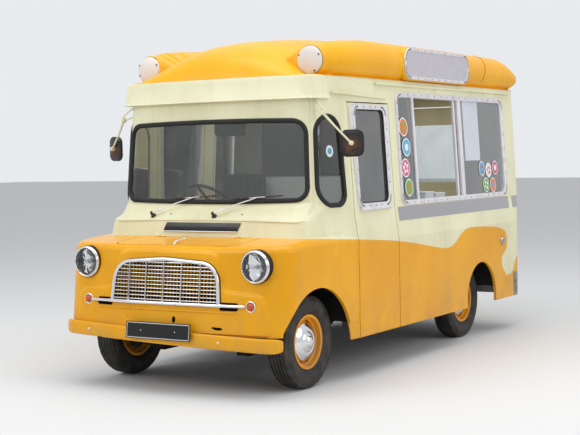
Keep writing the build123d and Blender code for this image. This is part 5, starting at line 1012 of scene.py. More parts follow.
PIVOT = [(0, -0.005), (0.019, -0.005), (0.019, 0.004), (0.014, 0.012), (0.0115, 0.024), (0.0125, 0.034),
         (0.008, 0.040), (0, 0.041)]
BLADE = [(-0.0035, 0.0075), (0.0035, 0.0075), (0.0045, 0.004), (0.0022, 0.0), (0.0012, -0.0055),
         (-0.0012, -0.0055), (-0.0022, 0.0), (-0.0045, 0.004)]
ARM_STATIONS = (0.0, 0.06, 0.14, 0.26, 0.30, 0.34, 0.6, 0.85, 0.97, 1.0)
wipe, blades, caps = Shape(), Shape(), Shape()
for x in (-0.444, 0.086):
    root, normal = cab_at(x, 1.136)
    knob = root + normal * 0.030
    caps.spin(PIVOT, root, normal, 24)
    tip, tip_normal = cab_at(x + 0.300, 1.262, tree=screen)
    end = tip + tip_normal * 0.017
    path, sections = [], []
    for t in ARM_STATIONS:
        path.append(knob.lerp(end, t) + normal * (0.004 * math.sin(math.pi * min(1, t / 0.9))))
        sections.append(ellipse(0.0085, 0.0055, 10) if t < 0.28 else ellipse(0.0042, 0.0028, 10))
    wipe.sweep(path, [normal] * len(path), sections)
    path, ups = [], []
    for k in range(13):
        p, n = cab_at(x + 0.112 + 0.376 * k / 12, 1.250 + 0.024 * k / 12, tree=screen)
        path.append(p + n * 0.0095)
        ups.append(n)
    blades.sweep(path, ups, BLADE)
    wipe.tube([path[k] + ups[k] * lift for k, lift in ((4, 0.008), (6, 0.013), (8, 0.008))], 0.0028, 8)
o = wipe.done("wiper_arms", "frame", slot="polished_steel")
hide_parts("wipers")
blades.done("wiper_blades", "wiper_rubber", slot="black_rubber")
caps.done("wiper_pivots", "steel_dark", slot="polished_steel")

hood = skin_tree("bonnet", "front_end")
handle = Shape()
near, lean = cast(hood, (-0.062, -1.905, 2.0), (0, 0, -1))
far = cast(hood, (0.058, -1.905, 2.0), (0, 0, -1))[0]
foot = near.lerp(far, 0.45)
handle.spin([(0, -0.004), (0.012, -0.004), (0.012, 0.002), (0.008, 0.006), (0, 0.007)], foot, lean, 24)
reach = Vector((0.080, 0.034, 0.0))
line = [foot + reach * t + lean * (0.006 + 0.030 * t + 0.004 * math.sin(math.pi * t))
        for t in spaced(-0.08, 0.92, 10)]
handle.tube(line, [0.004, 0.008, 0.0095, 0.009, 0.008, 0.0072, 0.0066, 0.006, 0.0056, 0.005, 0.003], 12)
handle.done("bonnet_handle", "chrome", body="bonnet", slot="bright_chrome")

# Wheels: tyres with fine ribs round the tread and a plain raised band on the sidewall, and hub caps

TYRE_R = 0.310
TREAD = 0.0685
GROOVE = 0.0035
FRONT_AXLE_Y = -1.507
REAR_AXLE_Y = 1.084
SIDEWALL = [(0.186, -0.054), (0.189, -0.0605), (0.196, -0.066), (0.204, -0.069), (0.2055, -0.0725),
            (0.209, -0.0725), (0.2105, -0.0715), (0.226, -0.0785), (0.240, -0.0815), (0.252, -0.0822),
            (0.264, -0.0812), (0.274, -0.0785), (0.2745, -0.0800), (0.2775, -0.0795), (0.2785, -0.0768),
            (0.288, -0.0725), (0.296, -0.0700)]
HUB_CAP = [(0, -0.008), (0.118, -0.008), (0.1265, -0.003), (0.1285, 0.001), (0.1265, 0.0045),
           (0.1200, 0.0060), (0.1120, 0.0120), (0.1000, 0.0200), (0.0880, 0.0250), (0.0790, 0.0268),
           (0.0740, 0.0262), (0.0715, 0.0240), (0.0690, 0.0242), (0.0665, 0.0275), (0.0560, 0.0335),
           (0.0440, 0.0372), (0.0410, 0.0372), (0.0395, 0.0385), (0.0370, 0.0440), (0.0300, 0.0500),
           (0.0180, 0.0540), (0.0, 0.0552)]
TYRE_STEPS = 120
# Points of the profile that lie on the tread, and those at its shoulders
TREAD_POINTS = range(18, 38)
SHOULDER_POINTS = (15, 16, 17, 38, 39, 40)
WEAVE = 0.0022
tread = [(0.3005, -TREAD)]
for g in (-0.050, -0.0255, 0.0, 0.0255, 0.050):
    crown = TYRE_R - 0.0055 * (abs(g) / TREAD) ** 2.2
    tread += [(crown, g - GROOVE), (crown - 0.0065, g - GROOVE * 0.6), (crown - 0.0065, g + GROOVE * 0.6),
              (crown, g + GROOVE)]
tread.append((0.3005, TREAD))
profile = SIDEWALL + tread + [(r, -a) for r, a in reversed(SIDEWALL)] + [(0.1695, 0.052), (0.1695, -0.052)]
for tag, x, y in (("front_left", 0.710, FRONT_AXLE_Y), ("front_right", -0.710, FRONT_AXLE_Y),
                  ("rear_left", 0.660, REAR_AXLE_Y), ("rear_right", -0.660, REAR_AXLE_Y)):
    body = "wheel_" + tag
    side = 1 if x > 0 else -1
    centre = Vector((x, y, TYRE_R))
    axis = Vector((side, 0, 0))
    other = axis.orthogonal().normalized()
    third = axis.cross(other)

    def outward(t):
        return other * math.cos(t) + third * math.sin(t)

    verts = []
    for i in range(TYRE_STEPS):
        way = outward(CIRCLE * i / TYRE_STEPS)
        for j, (r, a) in enumerate(profile):
            weave = (WEAVE if i % 2 else -WEAVE) if j in TREAD_POINTS else 0.0
            nick = WEAVE if i % 4 == 0 and j in SHOULDER_POINTS else 0.0
            verts.append(centre + way * (r - nick) + axis * (a + weave))
    tyre = Shape().put(verts, quads(TYRE_STEPS, len(profile), rejoin=True))
    o = tyre.done("tyre_cover_" + tag, "tyre", body=body, slot="tyre_rubber", sharp=38)
    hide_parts("tyre_" + tag)

    cap = Shape().spin(HUB_CAP, centre + axis * 0.034, axis, 96)
    cap.done("hub_cap_" + tag, "hub_chrome", body=body, slot="bright_chrome", sharp=60)
    # Vent holes in the wheel drawn as dark plates: painted shade inside the holes
    vents = Shape()
    for n in range(8):
        t = CIRCLE * (n + 0.5) / 8
        round_way = -other * math.sin(t) + third * math.cos(t)
        vents.plate(ellipse(0.013, 0.0042, 14), centre + outward(t) * 0.1385, round_way, axis, 0.010, 0.0245)
    vents.done("wheel_vent_shade_" + tag, "shadow", body=body)
    spot = centre + outward(0.7) * 0.158
    stem = Shape().tube([spot + axis * out for out in (0.010, 0.030, 0.046)], [0.0055, 0.0048, 0.0042], 10)
    stem.done("valve_" + tag, "rubber", body=body, slot="black_rubber")

# Roof moulding, head band and roof lamps

BASE_Z = 2.075
# Distance behind the front edge against crown rise, and against half width
RISE = [(0.0, 0.004), (0.012, 0.040), (0.040, 0.094), (0.090, 0.154), (0.160, 0.200), (0.260, 0.240),
        (0.420, 0.275), (0.620, 0.302), (1.100, 0.338), (1.700, 0.355), (2.870, 0.346), (3.250, 0.313),
        (3.430, 0.256), (3.510, 0.176), (3.545, 0.060)]
WIDE = [(0.0, 0.700), (0.060, 0.665), (0.200, 0.655), (0.330, 0.700), (0.600, 0.735), (3.570, 0.735)]
# Side mouldings: place, centre across, centre rise, half width, half height
PODS = [(-1.262, 0.680, 0.105, 0.098, 0.096), (-1.254, 0.680, 0.105, 0.107, 0.105),
        (-1.200, 0.680, 0.105, 0.109, 0.107), (-1.087, 0.693, 0.113, 0.124, 0.126),
        (-0.867, 0.705, 0.122, 0.137, 0.140), (-0.507, 0.705, 0.132, 0.142, 0.148),
        (1.730, 0.705, 0.130, 0.142, 0.146), (1.890, 0.712, 0.122, 0.134, 0.130),
        (1.990, 0.725, 0.108, 0.118, 0.102), (2.060, 0.745, 0.098, 0.090, 0.074),
        (2.100, 0.760, 0.094, 0.056, 0.050)]
ROOF_FRONT = -1.453
ROOF_LENGTH = 3.545
FRONT_HALF = 0.757
BODY_HALF = 0.809
CORNER_R = 0.13
REAR_R = 0.11
INNER_LINE = 0.145
BLEND = 0.011


def along(rows, s):
    """Smooth value of each column of a table at a place."""
    s = max(rows[0][0], min(rows[-1][0], s))
    i = max(0, min(len(rows) - 2, sum(1 for r in rows if r[0] <= s) - 1))

    def slope(k, c):
        if k <= 0 or k >= len(rows) - 1:
            return 0.0 if k else (rows[1][c] - rows[0][c]) / (rows[1][0] - rows[0][0])
        a = (rows[k][c] - rows[k - 1][c]) / (rows[k][0] - rows[k - 1][0])
        b = (rows[k + 1][c] - rows[k][c]) / (rows[k + 1][0] - rows[k][0])
        return 2 * a * b / (a + b) if a * b > 0 else 0.0
    span = rows[i + 1][0] - rows[i][0]
    t = (s - rows[i][0]) / span
    out = []
    for c in range(1, len(rows[0])):
        p, q = rows[i][c], rows[i + 1][c]
        bend = slope(i, c) * t * (1 - t) ** 2 - slope(i + 1, c) * t * t * (1 - t)
        out.append(p + (q - p) * (t * t * (3 - 2 * t)) + span * bend)
    return out


def plan_half(y):
    """Half width of the body's plan under the roof at a place, with its rounded corners."""
    side = BODY_HALF - NARROWING * max(0.0, CAB_FROM - y) / NARROW_LENGTH
    front = y - ROOF_FRONT
    if front < CAB_BOW + 0.020:
        side = min(side, FRONT_HALF * math.sqrt(max(0.0, front) / CAB_BOW))
    corner_y = CAB_TOP_Y + CORNER_R
    if y < corner_y:
        reach = math.sqrt(max(0.0, CORNER_R ** 2 - (corner_y - y) ** 2 * 0.78))
        side = min(side, FRONT_HALF + 0.010 - CORNER_R + reach)
    rear = 2.090 - REAR_R
    if y > rear:
        side = min(side, BODY_HALF - REAR_R + math.sqrt(max(0.0, REAR_R ** 2 - (y - rear) ** 2)))
    return side


def roof_radius(angle, y, pod, half):
    """How far the moulding reaches from a line inside the body, at an angle across the truck."""
    c, s = math.cos(angle), math.sin(angle)
    # The crown, found along the ray
    near, far = 0.0, 1.1
    for _ in range(17):
        mid = (near + far) / 2
        x, z = mid * c, mid * s - INNER_LINE
        place = y - ROOF_FRONT - CAB_BOW * (x / FRONT_HALF) ** 2
        inside = z < 0 and abs(x) < half
        if 0 < place <= ROOF_LENGTH:
            u = abs(x / along(WIDE, place)[0])
            if u < 1:
                inside = z < along(RISE, place)[0] * (1 - u ** 2.5) ** 0.85
        if inside:
            near = mid
        else:
            far = mid
    reaches = [near]
    # The side moulding, the far crossing of an ellipse
    if pod:
        px, rise, hx, hz = pod
        ax, az = abs(c) / hx, s / hz
        bx, bz = -px / hx, -(INNER_LINE + rise) / hz
        qa, qb, qc = ax * ax + az * az, 2 * (ax * bx + az * bz), bx * bx + bz * bz - 1
        d = qb * qb - 4 * qa * qc
        if d > 0:
            reaches.append((-qb + math.sqrt(d)) / (2 * qa))
    # A shallow rim over the body's plan
    reaches.append(min(half / max(abs(c), 1e-4), (INNER_LINE + 0.007) / max(s, 1e-4)))
    best = max(reaches)
    return best + BLEND * math.log(sum(math.exp((v - best) / BLEND) for v in reaches)) - 0.002


TURNS = 180
stations = [-1.4529, -1.4515, -1.449, -1.445, -1.440, -1.433, -1.424, -1.413, -1.40, -1.385, -1.368, -1.348,
            -1.326, -1.304, -1.286, -1.272, -1.2635, -1.2618, -1.258, -1.252, -1.244, -1.232, -1.216]
stations += spaced(-1.20, -0.81, 13) + spaced(-0.78, 1.695, 45) + spaced(1.75, 1.93, 6)
stations += spaced(1.955, 2.075, 10) + [2.0875]
verts = []
for y in stations:
    pod = along(PODS, y) if PODS[0][0] <= y <= PODS[-1][0] else None
    half = plan_half(y)
    verts.append(Vector((half, y, BASE_Z)))
    for t in spaced(0.150, math.pi - 0.150, TURNS):
        r = roof_radius(t, y, pod, half)
        verts.append(Vector((r * math.cos(t), y, max(BASE_Z - INNER_LINE + r * math.sin(t), BASE_Z + 0.0005))))
    verts.append(Vector((-half, y, BASE_Z)))
roof = Shape().put(verts, quads(len(stations), TURNS + 3) + ends(len(stations), TURNS + 3))
o = roof.done("roof_moulding", "roof", slot="yellow_paint", sharp=50)
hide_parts("roof")
tails = Shape()
TAIL_SIDES = 40
for side in (-1, 1):
    verts = []
    for y in spaced(2.055, 2.100, 10):
        px, rise, hx, hz = along(PODS, y)
        shrink = 0.990 * math.sqrt(max(0.05, 1 - max(0.0, (y - 2.078) / 0.024) ** 2))
        verts += [Vector((side * px + a, y, BASE_Z + rise + b))
                  for a, b in ellipse(hx * shrink, hz * shrink, TAIL_SIDES)]
    tails.put(verts, quads(11, TAIL_SIDES) + ends(11, TAIL_SIDES))
tails.done("roof_pod_tails", "roof", slot="yellow_paint", sharp=60)


# Head band: a smooth visor whose lower edge turns out
VISOR_FROM = -1.228


def visor_plan(z):
    """Plan line from the band's end on one side round to the other."""
    side = WALL_HALF - WALL_SLOPE * (z - LEAN_FROM)
    front = CAB_TOP_Y - 0.050 * (BASE_Z - z) / LEAN_HEIGHT
    narrow = side - NARROWING
    turns = [math.pi / 2 * (1 - n / 12) for n in range(1, 12)]
    bow = [(narrow * math.sin(a), front - CAB_BOW * (1 - math.sin(a) ** 2)) for a in turns]
    end = (side - NARROWING * (CAB_FROM - VISOR_FROM) / NARROW_LENGTH, VISOR_FROM)
    half = [end, (narrow + 0.004, front)] + bow + [(0.0, front - CAB_BOW)]
    radii = [0, 0.125] + [0.9] * (len(half) - 3) + [0]
    half = [end] + round_path(half, radii, closed=False, step=6.0)[1:]
    return half + [(-a, b) for a, b in reversed(half[:-1])]


# Height and distance moved out, up the outer face and down the inner one
VISOR_ROWS = [(1.9155, 0.030), (1.9165, 0.0335), (1.9200, 0.0350), (1.9235, 0.0335), (1.926, 0.0290),
              (1.945, 0.0240), (1.975, 0.0170), (2.010, 0.0115), (2.045, 0.0085), (2.065, 0.0070),
              (2.0725, 0.0050), (2.0745, 0.0015), (2.0745, -0.012), (1.99, -0.010), (1.93, -0.002),
              (1.9155, 0.020)]
verts = []
for z, out in VISOR_ROWS:
    line = [Vector((a, b)) for a, b in visor_plan(z)]
    n = len(line)
    for i, p in enumerate(line):
        onward = line[min(i + 1, n - 1)] - line[max(i - 1, 0)]
        away = Vector((onward.y, -onward.x)).normalized()
        if away.dot(p - Vector((0, -1.0))) < 0:
            away = -away
        q = p + away * out * (1.0 if abs(p.x) < 0.72 else 0.62)
        verts.append(Vector((q.x, q.y, z)))
faces = quads(len(VISOR_ROWS), n, around=False, rejoin=True)
faces += [tuple(i * n + edge for i in range(len(VISOR_ROWS))) for edge in (0, n - 1)]
visor = Shape().put(verts, faces)
o = visor.done("head_band_visor", "cream", slot="cream_paint", sharp=40)
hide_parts("head_band")

# Roof lamps: domed opal covers on a dark ring painted as the shade in the seam round each cover, three screws
# each
SEAM = [(0, -0.02), (0.0995, -0.02), (0.0995, 0.004), (0.094, 0.006), (0, 0.006)]
ROOF_LAMP_AT = Vector((0.680, -1.257, 2.180))
OPAL_R = 0.0958
OPAL = [(0, -0.010), (0.0968, -0.010), (0.0972, 0.004), (OPAL_R, 0.010)]
OPAL += [(OPAL_R * math.cos(math.pi / 2 * n / 12), 0.010 + 0.022 * math.sin(math.pi / 2 * n / 12))
         for n in range(1, 12)]
OPAL.append((0.0, 0.032))
for side, tag in ((1, "left"), (-1, "right")):
    centre = on_side(ROOF_LAMP_AT, side)
    # Dark ring round the cover: painted shade of the seam
    Shape().spin(SEAM, centre, FRONT, 64).done("roof_lamp_seam_shade_" + tag, "shadow")
    opal = Shape().spin(OPAL, centre, FRONT, 72)
    o = opal.done("roof_lamp_cover_" + tag, "white_plastic", slot="white_plastic", sharp=60)
    if side > 0:
        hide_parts("roof_lamps")
    pins = Shape()
    for a in (0.42, 2.70, -1.05 if side > 0 else 3.6):
        spot = centre + Vector((0.085 * math.cos(a), -0.0205, 0.085 * math.sin(a)))
        way = Vector((0.35 * math.cos(a), -1, 0.35 * math.sin(a))).normalized()
        screw_head(pins, spot, way, 0.0062, 0.005)
    pins.done("roof_lamp_screws_" + tag, "steel_dark")

# Moulding seam round each side pod, behind the sign: a low bead in darker amber, painted as the shade of the
# seam's groove
seam = Shape()
for side in (-1, 1):
    path, ups = [], []
    for t in spaced(-0.62, 1.48, 28):
        y = 1.335 + 0.05 * math.sin(t)
        px, rise, hx, hz = along(PODS, y)
        path.append(Vector((side * (px + hx * math.cos(t)), y, BASE_Z + rise + hz * math.sin(t))))
        ups.append(Vector((side * math.cos(t) / hx, 0, math.sin(t) / hz)).normalized())
    seam.sweep(path, ups, dome_section(0.0035, 0.0022, -0.004, 5))
seam.done("roof_seam", "seam", slot="yellow_paint")

# Rounded corners of the cab

CAB_R = 0.130
CORNER_SLOPE = 0.127


def cab_plan(z):
    """Half width and front of the cab's plan at its corner, at a height."""
    if z < 1.134:
        share = max(0.0, (z - 1.112) / 0.022)
        return 0.868 - 0.003 * share - NARROWING, -1.552 + 0.023 * share
    if z < LEAN_FROM:
        share = (z - 1.134) / 0.066
        return 0.865 - 0.004 * share - NARROWING, -1.529 + 0.074 * share
    rise = z - LEAN_FROM
    return WALL_HALF - WALL_SLOPE * rise - NARROWING, -1.455 + 0.05 * rise / LEAN_HEIGHT


def bowed(x, side):
    """How far the cab's front bows forward at a place across."""
    return CAB_BOW * (1 - min(1.0, abs(x) / side) ** 2)


SCREEN_Y = -1.415
SCREEN_FOOT = 1.146


def screen_bow(p):
    """Height moved where the windscreen's edges bow: the sill rises, and both edges pull in at their ends."""
    if p.y > SCREEN_Y or not SCREEN_FOOT < p.z < 1.895:
        return p.z
    at_ends = min(1.0, abs(p.x) / 0.75) ** 2
    fade = smooth((SCREEN_Y - p.y) / 0.02)
    sill = smooth((p.z - SCREEN_FOOT) / 0.05) * (1 - smooth((p.z - 1.27) / 0.25))
    top = smooth((p.z - 1.50) / 0.25) * (1 - smooth((p.z - 1.82) / 0.07))
    return p.z + fade * (sill * (0.014 + 0.014 * at_ends) - top * 0.012 * at_ends)


def rounded_corner(p):
    """The same point with the cab's front corner turned on a larger radius."""
    p = Vector((p.x, p.y, screen_bow(p)))
    side, front = cab_plan(p.z)
    x = abs(p.x)
    y = p.y + bowed(x, side)
    edge = side + CORNER_SLOPE * (y - front)
    u = (x - (edge - CAB_R)) / CAB_R
    v = (front + CAB_R - y) / CAB_R
    if u <= 0 or v <= 0:
        return p
    scale = max(u, v) / math.hypot(u, v)
    scale = 1 - (1 - scale) * smooth((p.z - 1.108) / 0.05)
    y = front + CAB_R - v * scale * CAB_R
    x = side + CORNER_SLOPE * (y - front) - CAB_R + u * scale * CAB_R
    return Vector((math.copysign(x, p.x), y - bowed(x, side), p.z))


def round_copy(node, mat):
    """Copy of a node, cut finely and moved with the cab's rounded corners."""
    bm = bmesh.new()
    bm.from_mesh(NODES[node].data)

    def cut(axis, at):
        place, way = Vector(), Vector()
        place[axis], way[axis] = at, 1.0
        bmesh.ops.bisect_plane(bm, geom=bm.verts[:] + bm.edges[:] + bm.faces[:], plane_co=place, plane_no=way,
                               dist=1e-5)

    for k in range(-1, 12):
        cut(0, 0.665 + 0.0145 * k)
        cut(0, -0.665 - 0.0145 * k)
        cut(1, -1.465 + 0.0165 * (k + 1))
    for x in (-0.58, -0.48, -0.36, -0.24, -0.12, 0.0, 0.12, 0.24, 0.36, 0.48, 0.58):
        cut(0, x)
    for z in (1.004, 1.016, 1.028, 1.04, 1.052, 1.064, 1.088, 1.112, 1.134, 1.146, 1.17, 1.196, 1.3, 1.4,
              1.52, 1.6, 1.75, 1.82, 1.86, 1.89):
        cut(2, z)
    for v in bm.verts:
        v.co = rounded_corner(v.co)
    bmesh.ops.recalc_face_normals(bm, faces=bm.faces)
    mesh = bpy.data.meshes.new(node + "_rounded")
    bm.to_mesh(mesh)
    bm.free()
    for p in mesh.polygons:
        p.use_smooth = True
    mesh.set_sharp_from_angle(angle=math.radians(32))
    mesh.materials.append(MAT[mat])
    o = bpy.data.objects.new(node + "_rounded", mesh)
    bpy.context.collection.objects.link(o)
    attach(o, "vehicle")
    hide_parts(node)


round_copy("cab_front", "cream")
round_copy("cab_glass", "glass")


# Window rubbers, frames and their screws

def screen_at(x, z, out=0.0):
    """Point on the cab's bowed front, its corners turned."""
    def turned(x, z):
        side, front = cab_plan(z)
        return rounded_corner(Vector((x, front - bowed(x, side), z)))

    p, q, r = turned(x, z), turned(x + 0.004, z), turned(x, z + 0.01)
    return p + (q - p).cross(r - p).normalized() * out


def quarter_at(a, z, out=0.0):
    """Point on the cab's quarter, its corner turned."""
    p, q, r = (rounded_corner(on_quarter(*w)) for w in ((a, z), (a + 0.004, z), (a, z + 0.01)))
    return p + (q - p).cross(r - p).normalized() * out


def ring_on(shape, outline, place, section, sides=(1,)):
    """Section carried round a window's outline on a wall given by a function of two places."""
    path = [place(a, b) for a, b in outline]
    ups = [place(a, b, 0.01) - p for (a, b), p in zip(outline, path)]
    for side in sides:
        shape.sweep([on_side(p, side) for p in path], [on_side(u, side) for u in ups], section, closed=True)


def moved_in(points, d):
    n = len(points)
    cx = sum(p[0] for p in points) / n
    cy = sum(p[1] for p in points) / n
    return [(a - math.copysign(d, a - cx), b - math.copysign(d, b - cy)) for a, b in points]


SCREEN = [(-0.768, 1.210), (0.768, 1.210), (0.745, 1.790), (-0.745, 1.790)]
QUARTER = [(-0.402, 1.195), (-0.088, 1.195), (-0.112, 1.806), (-0.372, 1.806)]
DOOR_WINDOW = [(-0.957, 1.163), (-0.459, 1.163), (-0.459, 1.887), (-0.957, 1.887)]
HATCH = [(-0.292, 1.158), (1.743, 1.158), (1.743, 1.990), (-0.292, 1.990)]
screen_line = round_path(moved_in(SCREEN, 0.008), [0.085, 0.085, 0.105, 0.105], step=5.0)
quarter_line = round_path(moved_in(QUARTER, 0.006), [0.150, 0.075, 0.140, 0.125], step=5.0)
seals = Shape()
ring_on(seals, dense(screen_line, 0.03, True), screen_at, dome_section(0.0165, 0.0125, -0.012, 10))
ring_on(seals, dense(quarter_line, 0.03, True), quarter_at, dome_section(0.0175, 0.0135, -0.012, 10), (1, -1))
o = seals.done("window_rubbers", "rubber", slot="black_rubber", sharp=60)
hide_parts("window_seals")


# Sides: window frames, drip rails, hatch, signs, mirrors

def framed(shape, screws, outline, place, half, tall, pitch=0.105):
    """Raised window frame round an outline, with screws along it."""
    section = [(-half, -0.010), (half, -0.010), (half, tall * 0.55), (half * 0.82, tall),
               (-half * 0.70, tall * 0.85), (-half, tall * 0.45)]
    ring_on(shape, dense(outline, 0.04, True), place, section)
    for a, b in dense(outline, pitch, True):
        p = place(a, b)
        u = (place(a, b, 0.01) - p).normalized()
        screw_head(screws, p + u * tall * 0.90, u, 0.0050, 0.0024)


RAIL = [(-0.006, -0.004), (-0.006, 0.0135), (-0.010, 0.0165), (-0.010, 0.0195), (-0.002, 0.0215),
        (0.004, 0.0195), (0.007, 0.010), (0.011, 0.002), (0.011, -0.004)]
RAIL_STEPS = 40
MIRROR_HEAD = Vector((1.000, -1.278, 1.615))
MIRROR_ELBOW = Vector((0.838, -1.378, 1.818))
MIRROR_LOOK = Vector((0.35, -1.0, 0.0)).normalized()
CLAMP = [(0, -0.018), (0.0135, -0.018), (0.0150, -0.010), (0.0150, 0.010), (0.0135, 0.018), (0, 0.018)]
KNUCKLE = [(0, 0.008), (0.0150, 0.008), (0.0165, 0.014), (0.0160, 0.034), (0.0120, 0.044), (0, 0.046)]
MIRROR_SQUARE = [(-0.078, -0.090), (0.080, -0.086), (0.078, 0.088), (-0.076, 0.086)]
MIRROR_SQUARE = dense(round_path(MIRROR_SQUARE, [0.045] * 4, step=9.0), 0.02, True)
# Size and height of the mirror shell's rings, from the glass to the middle of its back
MIRROR_RINGS = [(0.93, -0.010), (1.0, -0.012), (1.03, -0.006), (1.03, 0.000), (1.0, 0.004), (0.97, 0.0045),
                (0.95, 0.002), (0.88, 0.006), (0.70, 0.012), (0.45, 0.0155), (0.15, 0.017)]
door_line = round_path(moved_in(DOOR_WINDOW, 0.016), [0.062, 0.062, 0.058, 0.058], step=9.0)
door_inner = dense(round_path(moved_in(DOOR_WINDOW, 0.037), [0.045] * 4, step=9.0), 0.05, True)
hatch_line = round_path(moved_in(HATCH, 0.016), [0.070] * 4, step=9.0)
for side, tag in ((1, "left"), (-1, "right")):
    def place(a, b, out=0.0):
        return on_side(on_wall(a, b, out), side)

    body = "door_" + tag
    flange, pins, lips = Shape(), Shape(), Shape()
    framed(flange, pins, door_line, place, 0.0195, 0.0125)
    path = [place(a, b, -0.001) for a, b in door_inner]
    ups = [place(a, b, 0.01) - place(a, b) for a, b in door_inner]
    lips.sweep(path, ups, dome_section(0.0055, 0.0085, -0.008, 6), closed=True)
    sill = [place(y, 1.1555, 0.010) for y in spaced(-0.935, -0.481, 12)]
    up = place(-0.7, 1.2, 0.01) - place(-0.7, 1.2)
    flange.sweep(sill, [up] * len(sill), dome_section(0.012, 0.010, -0.012, 8))
    flange.done("door_window_flange_" + tag, "frame", body=body, slot="aluminium_trim")
    pins.done("door_window_screws_" + tag, "steel_dark", body=body)
    lips.done("door_window_gasket_" + tag, "rubber", body=body, slot="black_rubber", sharp=60)
    flange, pins = Shape(), Shape()
    framed(flange, pins, hatch_line, place, 0.0185, 0.0120, pitch=0.120)
    flange.done("hatch_flange_" + tag, "frame", slot="aluminium_trim")
    pins.done("hatch_screws_" + tag, "steel_dark")

    # Drip rails: a rounded lip on a thin flange, over the cab door and over the hatch
    rails = Shape()
    up = place(0, 1.9, 0.01) - place(0, 1.9)
    section = RAIL if side > 0 else [(-a, b) for a, b in reversed(RAIL)]
    for y0, y1, z0, z1 in ((-1.205, -0.455, 1.958, 1.936), (-0.600, 1.895, 2.0375, 2.0375)):
        path = []
        for y, z in zip(spaced(y0, y1, RAIL_STEPS), spaced(z0, z1, RAIL_STEPS)):
            ahead = on_quarter((y - CAB_FROM) / math.cos(NARROW), z)
            path.append(place(y, z) if y > CAB_FROM else on_side(ahead, side))
        rails.sweep(path, [up] * len(path), section)
    rails.done("drip_rails_" + tag, "cream", slot="cream_paint", sharp=50)

    # Mirror: clamp under the visor, bent arm, knuckle and a rounded-square head
    arm = Shape()
    root = rounded_corner(Vector((0.790, -1.372, 1.872))) - Vector((0.012, 0, 0))
    knee = MIRROR_ELBOW.lerp(MIRROR_HEAD, 0.5) + Vector((0, -0.010, 0))
    upper = [root + Vector((0, 0, 0.028)), root + Vector((0.030, 0.0, 0.020)),
             MIRROR_ELBOW + Vector((0.004, 0, 0.030)), MIRROR_ELBOW]
    lower = [root + Vector((0, 0, -0.030)), root + Vector((0.026, -0.002, -0.040)), MIRROR_ELBOW]
    main = [MIRROR_ELBOW + Vector((-0.012, 0.006, 0.022)), MIRROR_ELBOW, knee,
            MIRROR_HEAD + MIRROR_LOOK * 0.030]
    centre, out = on_side(MIRROR_HEAD, side), on_side(MIRROR_LOOK, side)
    arm.tube([on_side(v, side) for v in upper], [0.0065, 0.0065, 0.006, 0.006], 10)
    arm.tube([on_side(v, side) for v in lower], [0.0065, 0.006, 0.006], 10)
    arm.spin(CLAMP, on_side(MIRROR_ELBOW, side), (0.3 * side, -1, 0.2), 16)
    arm.tube([on_side(v, side) for v in main], [0.0095, 0.0095, 0.0070, 0.0070], 12)
    arm.spin(KNUCKLE, centre, out, 20)
    o = arm.done("mirror_arm_" + tag, "cream", slot="cream_paint", sharp=50)
    if side > 0:
        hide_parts("mirrors")
    right = on_side(Vector((1.0, 0.35, 0.0)).normalized(), side)
    rows, n = len(MIRROR_RINGS), len(MIRROR_SQUARE)
    verts = [centre + right * (a * scale) + Vector((0, 0, b * scale)) + out * height
             for scale, height in MIRROR_RINGS for a, b in MIRROR_SQUARE]
    shell = Shape().put(verts, quads(rows, n) + ends(rows, n))
    shell.done("mirror_shell_" + tag, "mirror", slot="black_paint", sharp=40)
    mirror_face = Shape()
    outline = [(a * 0.92, b * 0.92) for a, b in MIRROR_SQUARE]
    mirror_face.plate(outline, centre - out * 0.0105, right, out, -0.003, 0.001)
    mirror_face.done("mirror_glass_" + tag, "reflector", slot="bright_chrome")

# Signs: metal face inside a screwed silver border, on a moulded yellow seat
SIGN = [(-0.185, 2.090), (0.968, 2.090), (0.968, 2.322), (-0.185, 2.322)]
SIGN_Y, SIGN_Z = 0.3915, 2.206
sign_line = round_path(SIGN, [0.092] * 4, step=8.0)
rim_line = round_path(moved_in(SIGN, 0.010), [0.084] * 4, step=8.0)
for side, tag in ((1, "left"), (-1, "right")):
    border, pins, face, seat = Shape(), Shape(), Shape(), Shape()
    flat = [(side * (a - SIGN_Y), b - SIGN_Z) for a, b in sign_line]
    where = ((0, SIGN_Y, SIGN_Z), (0, side, 0), (side, 0, 0))
    seat.plate([(a * 1.018, b * 1.075) for a, b in flat], *where, 0.790, 0.8495, 0.010)
    seat.done("sign_seat_" + tag, "roof", slot="yellow_paint", sharp=50)
    face.plate(flat, *where, 0.845, 0.8555, 0.001)
    o = face.done("sign_face_" + tag, "sign", slot="sign_paint")
    if side > 0:
        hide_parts("roof_signs")
    path = [Vector((side * 0.8555, a, b)) for a, b in dense(rim_line, 0.06, True)]
    band = strap_section(0.011, 0.0095, -0.004, 0.0030, 0.0045)
    border.sweep(path, [LEFT * side] * len(path), band, closed=True)
    # Border screw heads drawn in the deep shadow black: painted shade at each screw
    for a, b in dense(rim_line, 0.125, True):
        screw_head(pins, Vector((side * 0.8596, a, b)), LEFT * side, 0.0052, 0.002)
    border.done("sign_border_" + tag, "frame", slot="aluminium_trim")
    pins.done("sign_border_screws_" + tag, "shadow")


# Hatch: pale mullions, round stickers in rows, a blank notice, and tubs on the counter
def disc(shape, y, z, radius, out, place=on_wall):
    """Thin round sticker on a wall."""
    mid = place(y, z, out)
    up = (place(y, z, out + 0.01) - mid).normalized()
    shape.spin([(0, -0.0006), (radius, -0.0006), (radius, 0.0004), (0, 0.0006)], mid, up, 36)


mull = Shape()
for y, wide, out in ((0.000, 0.0135, 0.0015), (0.845, 0.030, 0.001), (0.776, 0.015, -0.015)):
    path = [on_wall(y, z, out) for z in spaced(1.180, 1.968, 10)]
    mull.sweep(path, [WALL_OUT] * 11, dome_section(wide, 0.006, -0.004, 8))
mull.done("hatch_mullions", "mullion", slot="aluminium_trim", sharp=50)
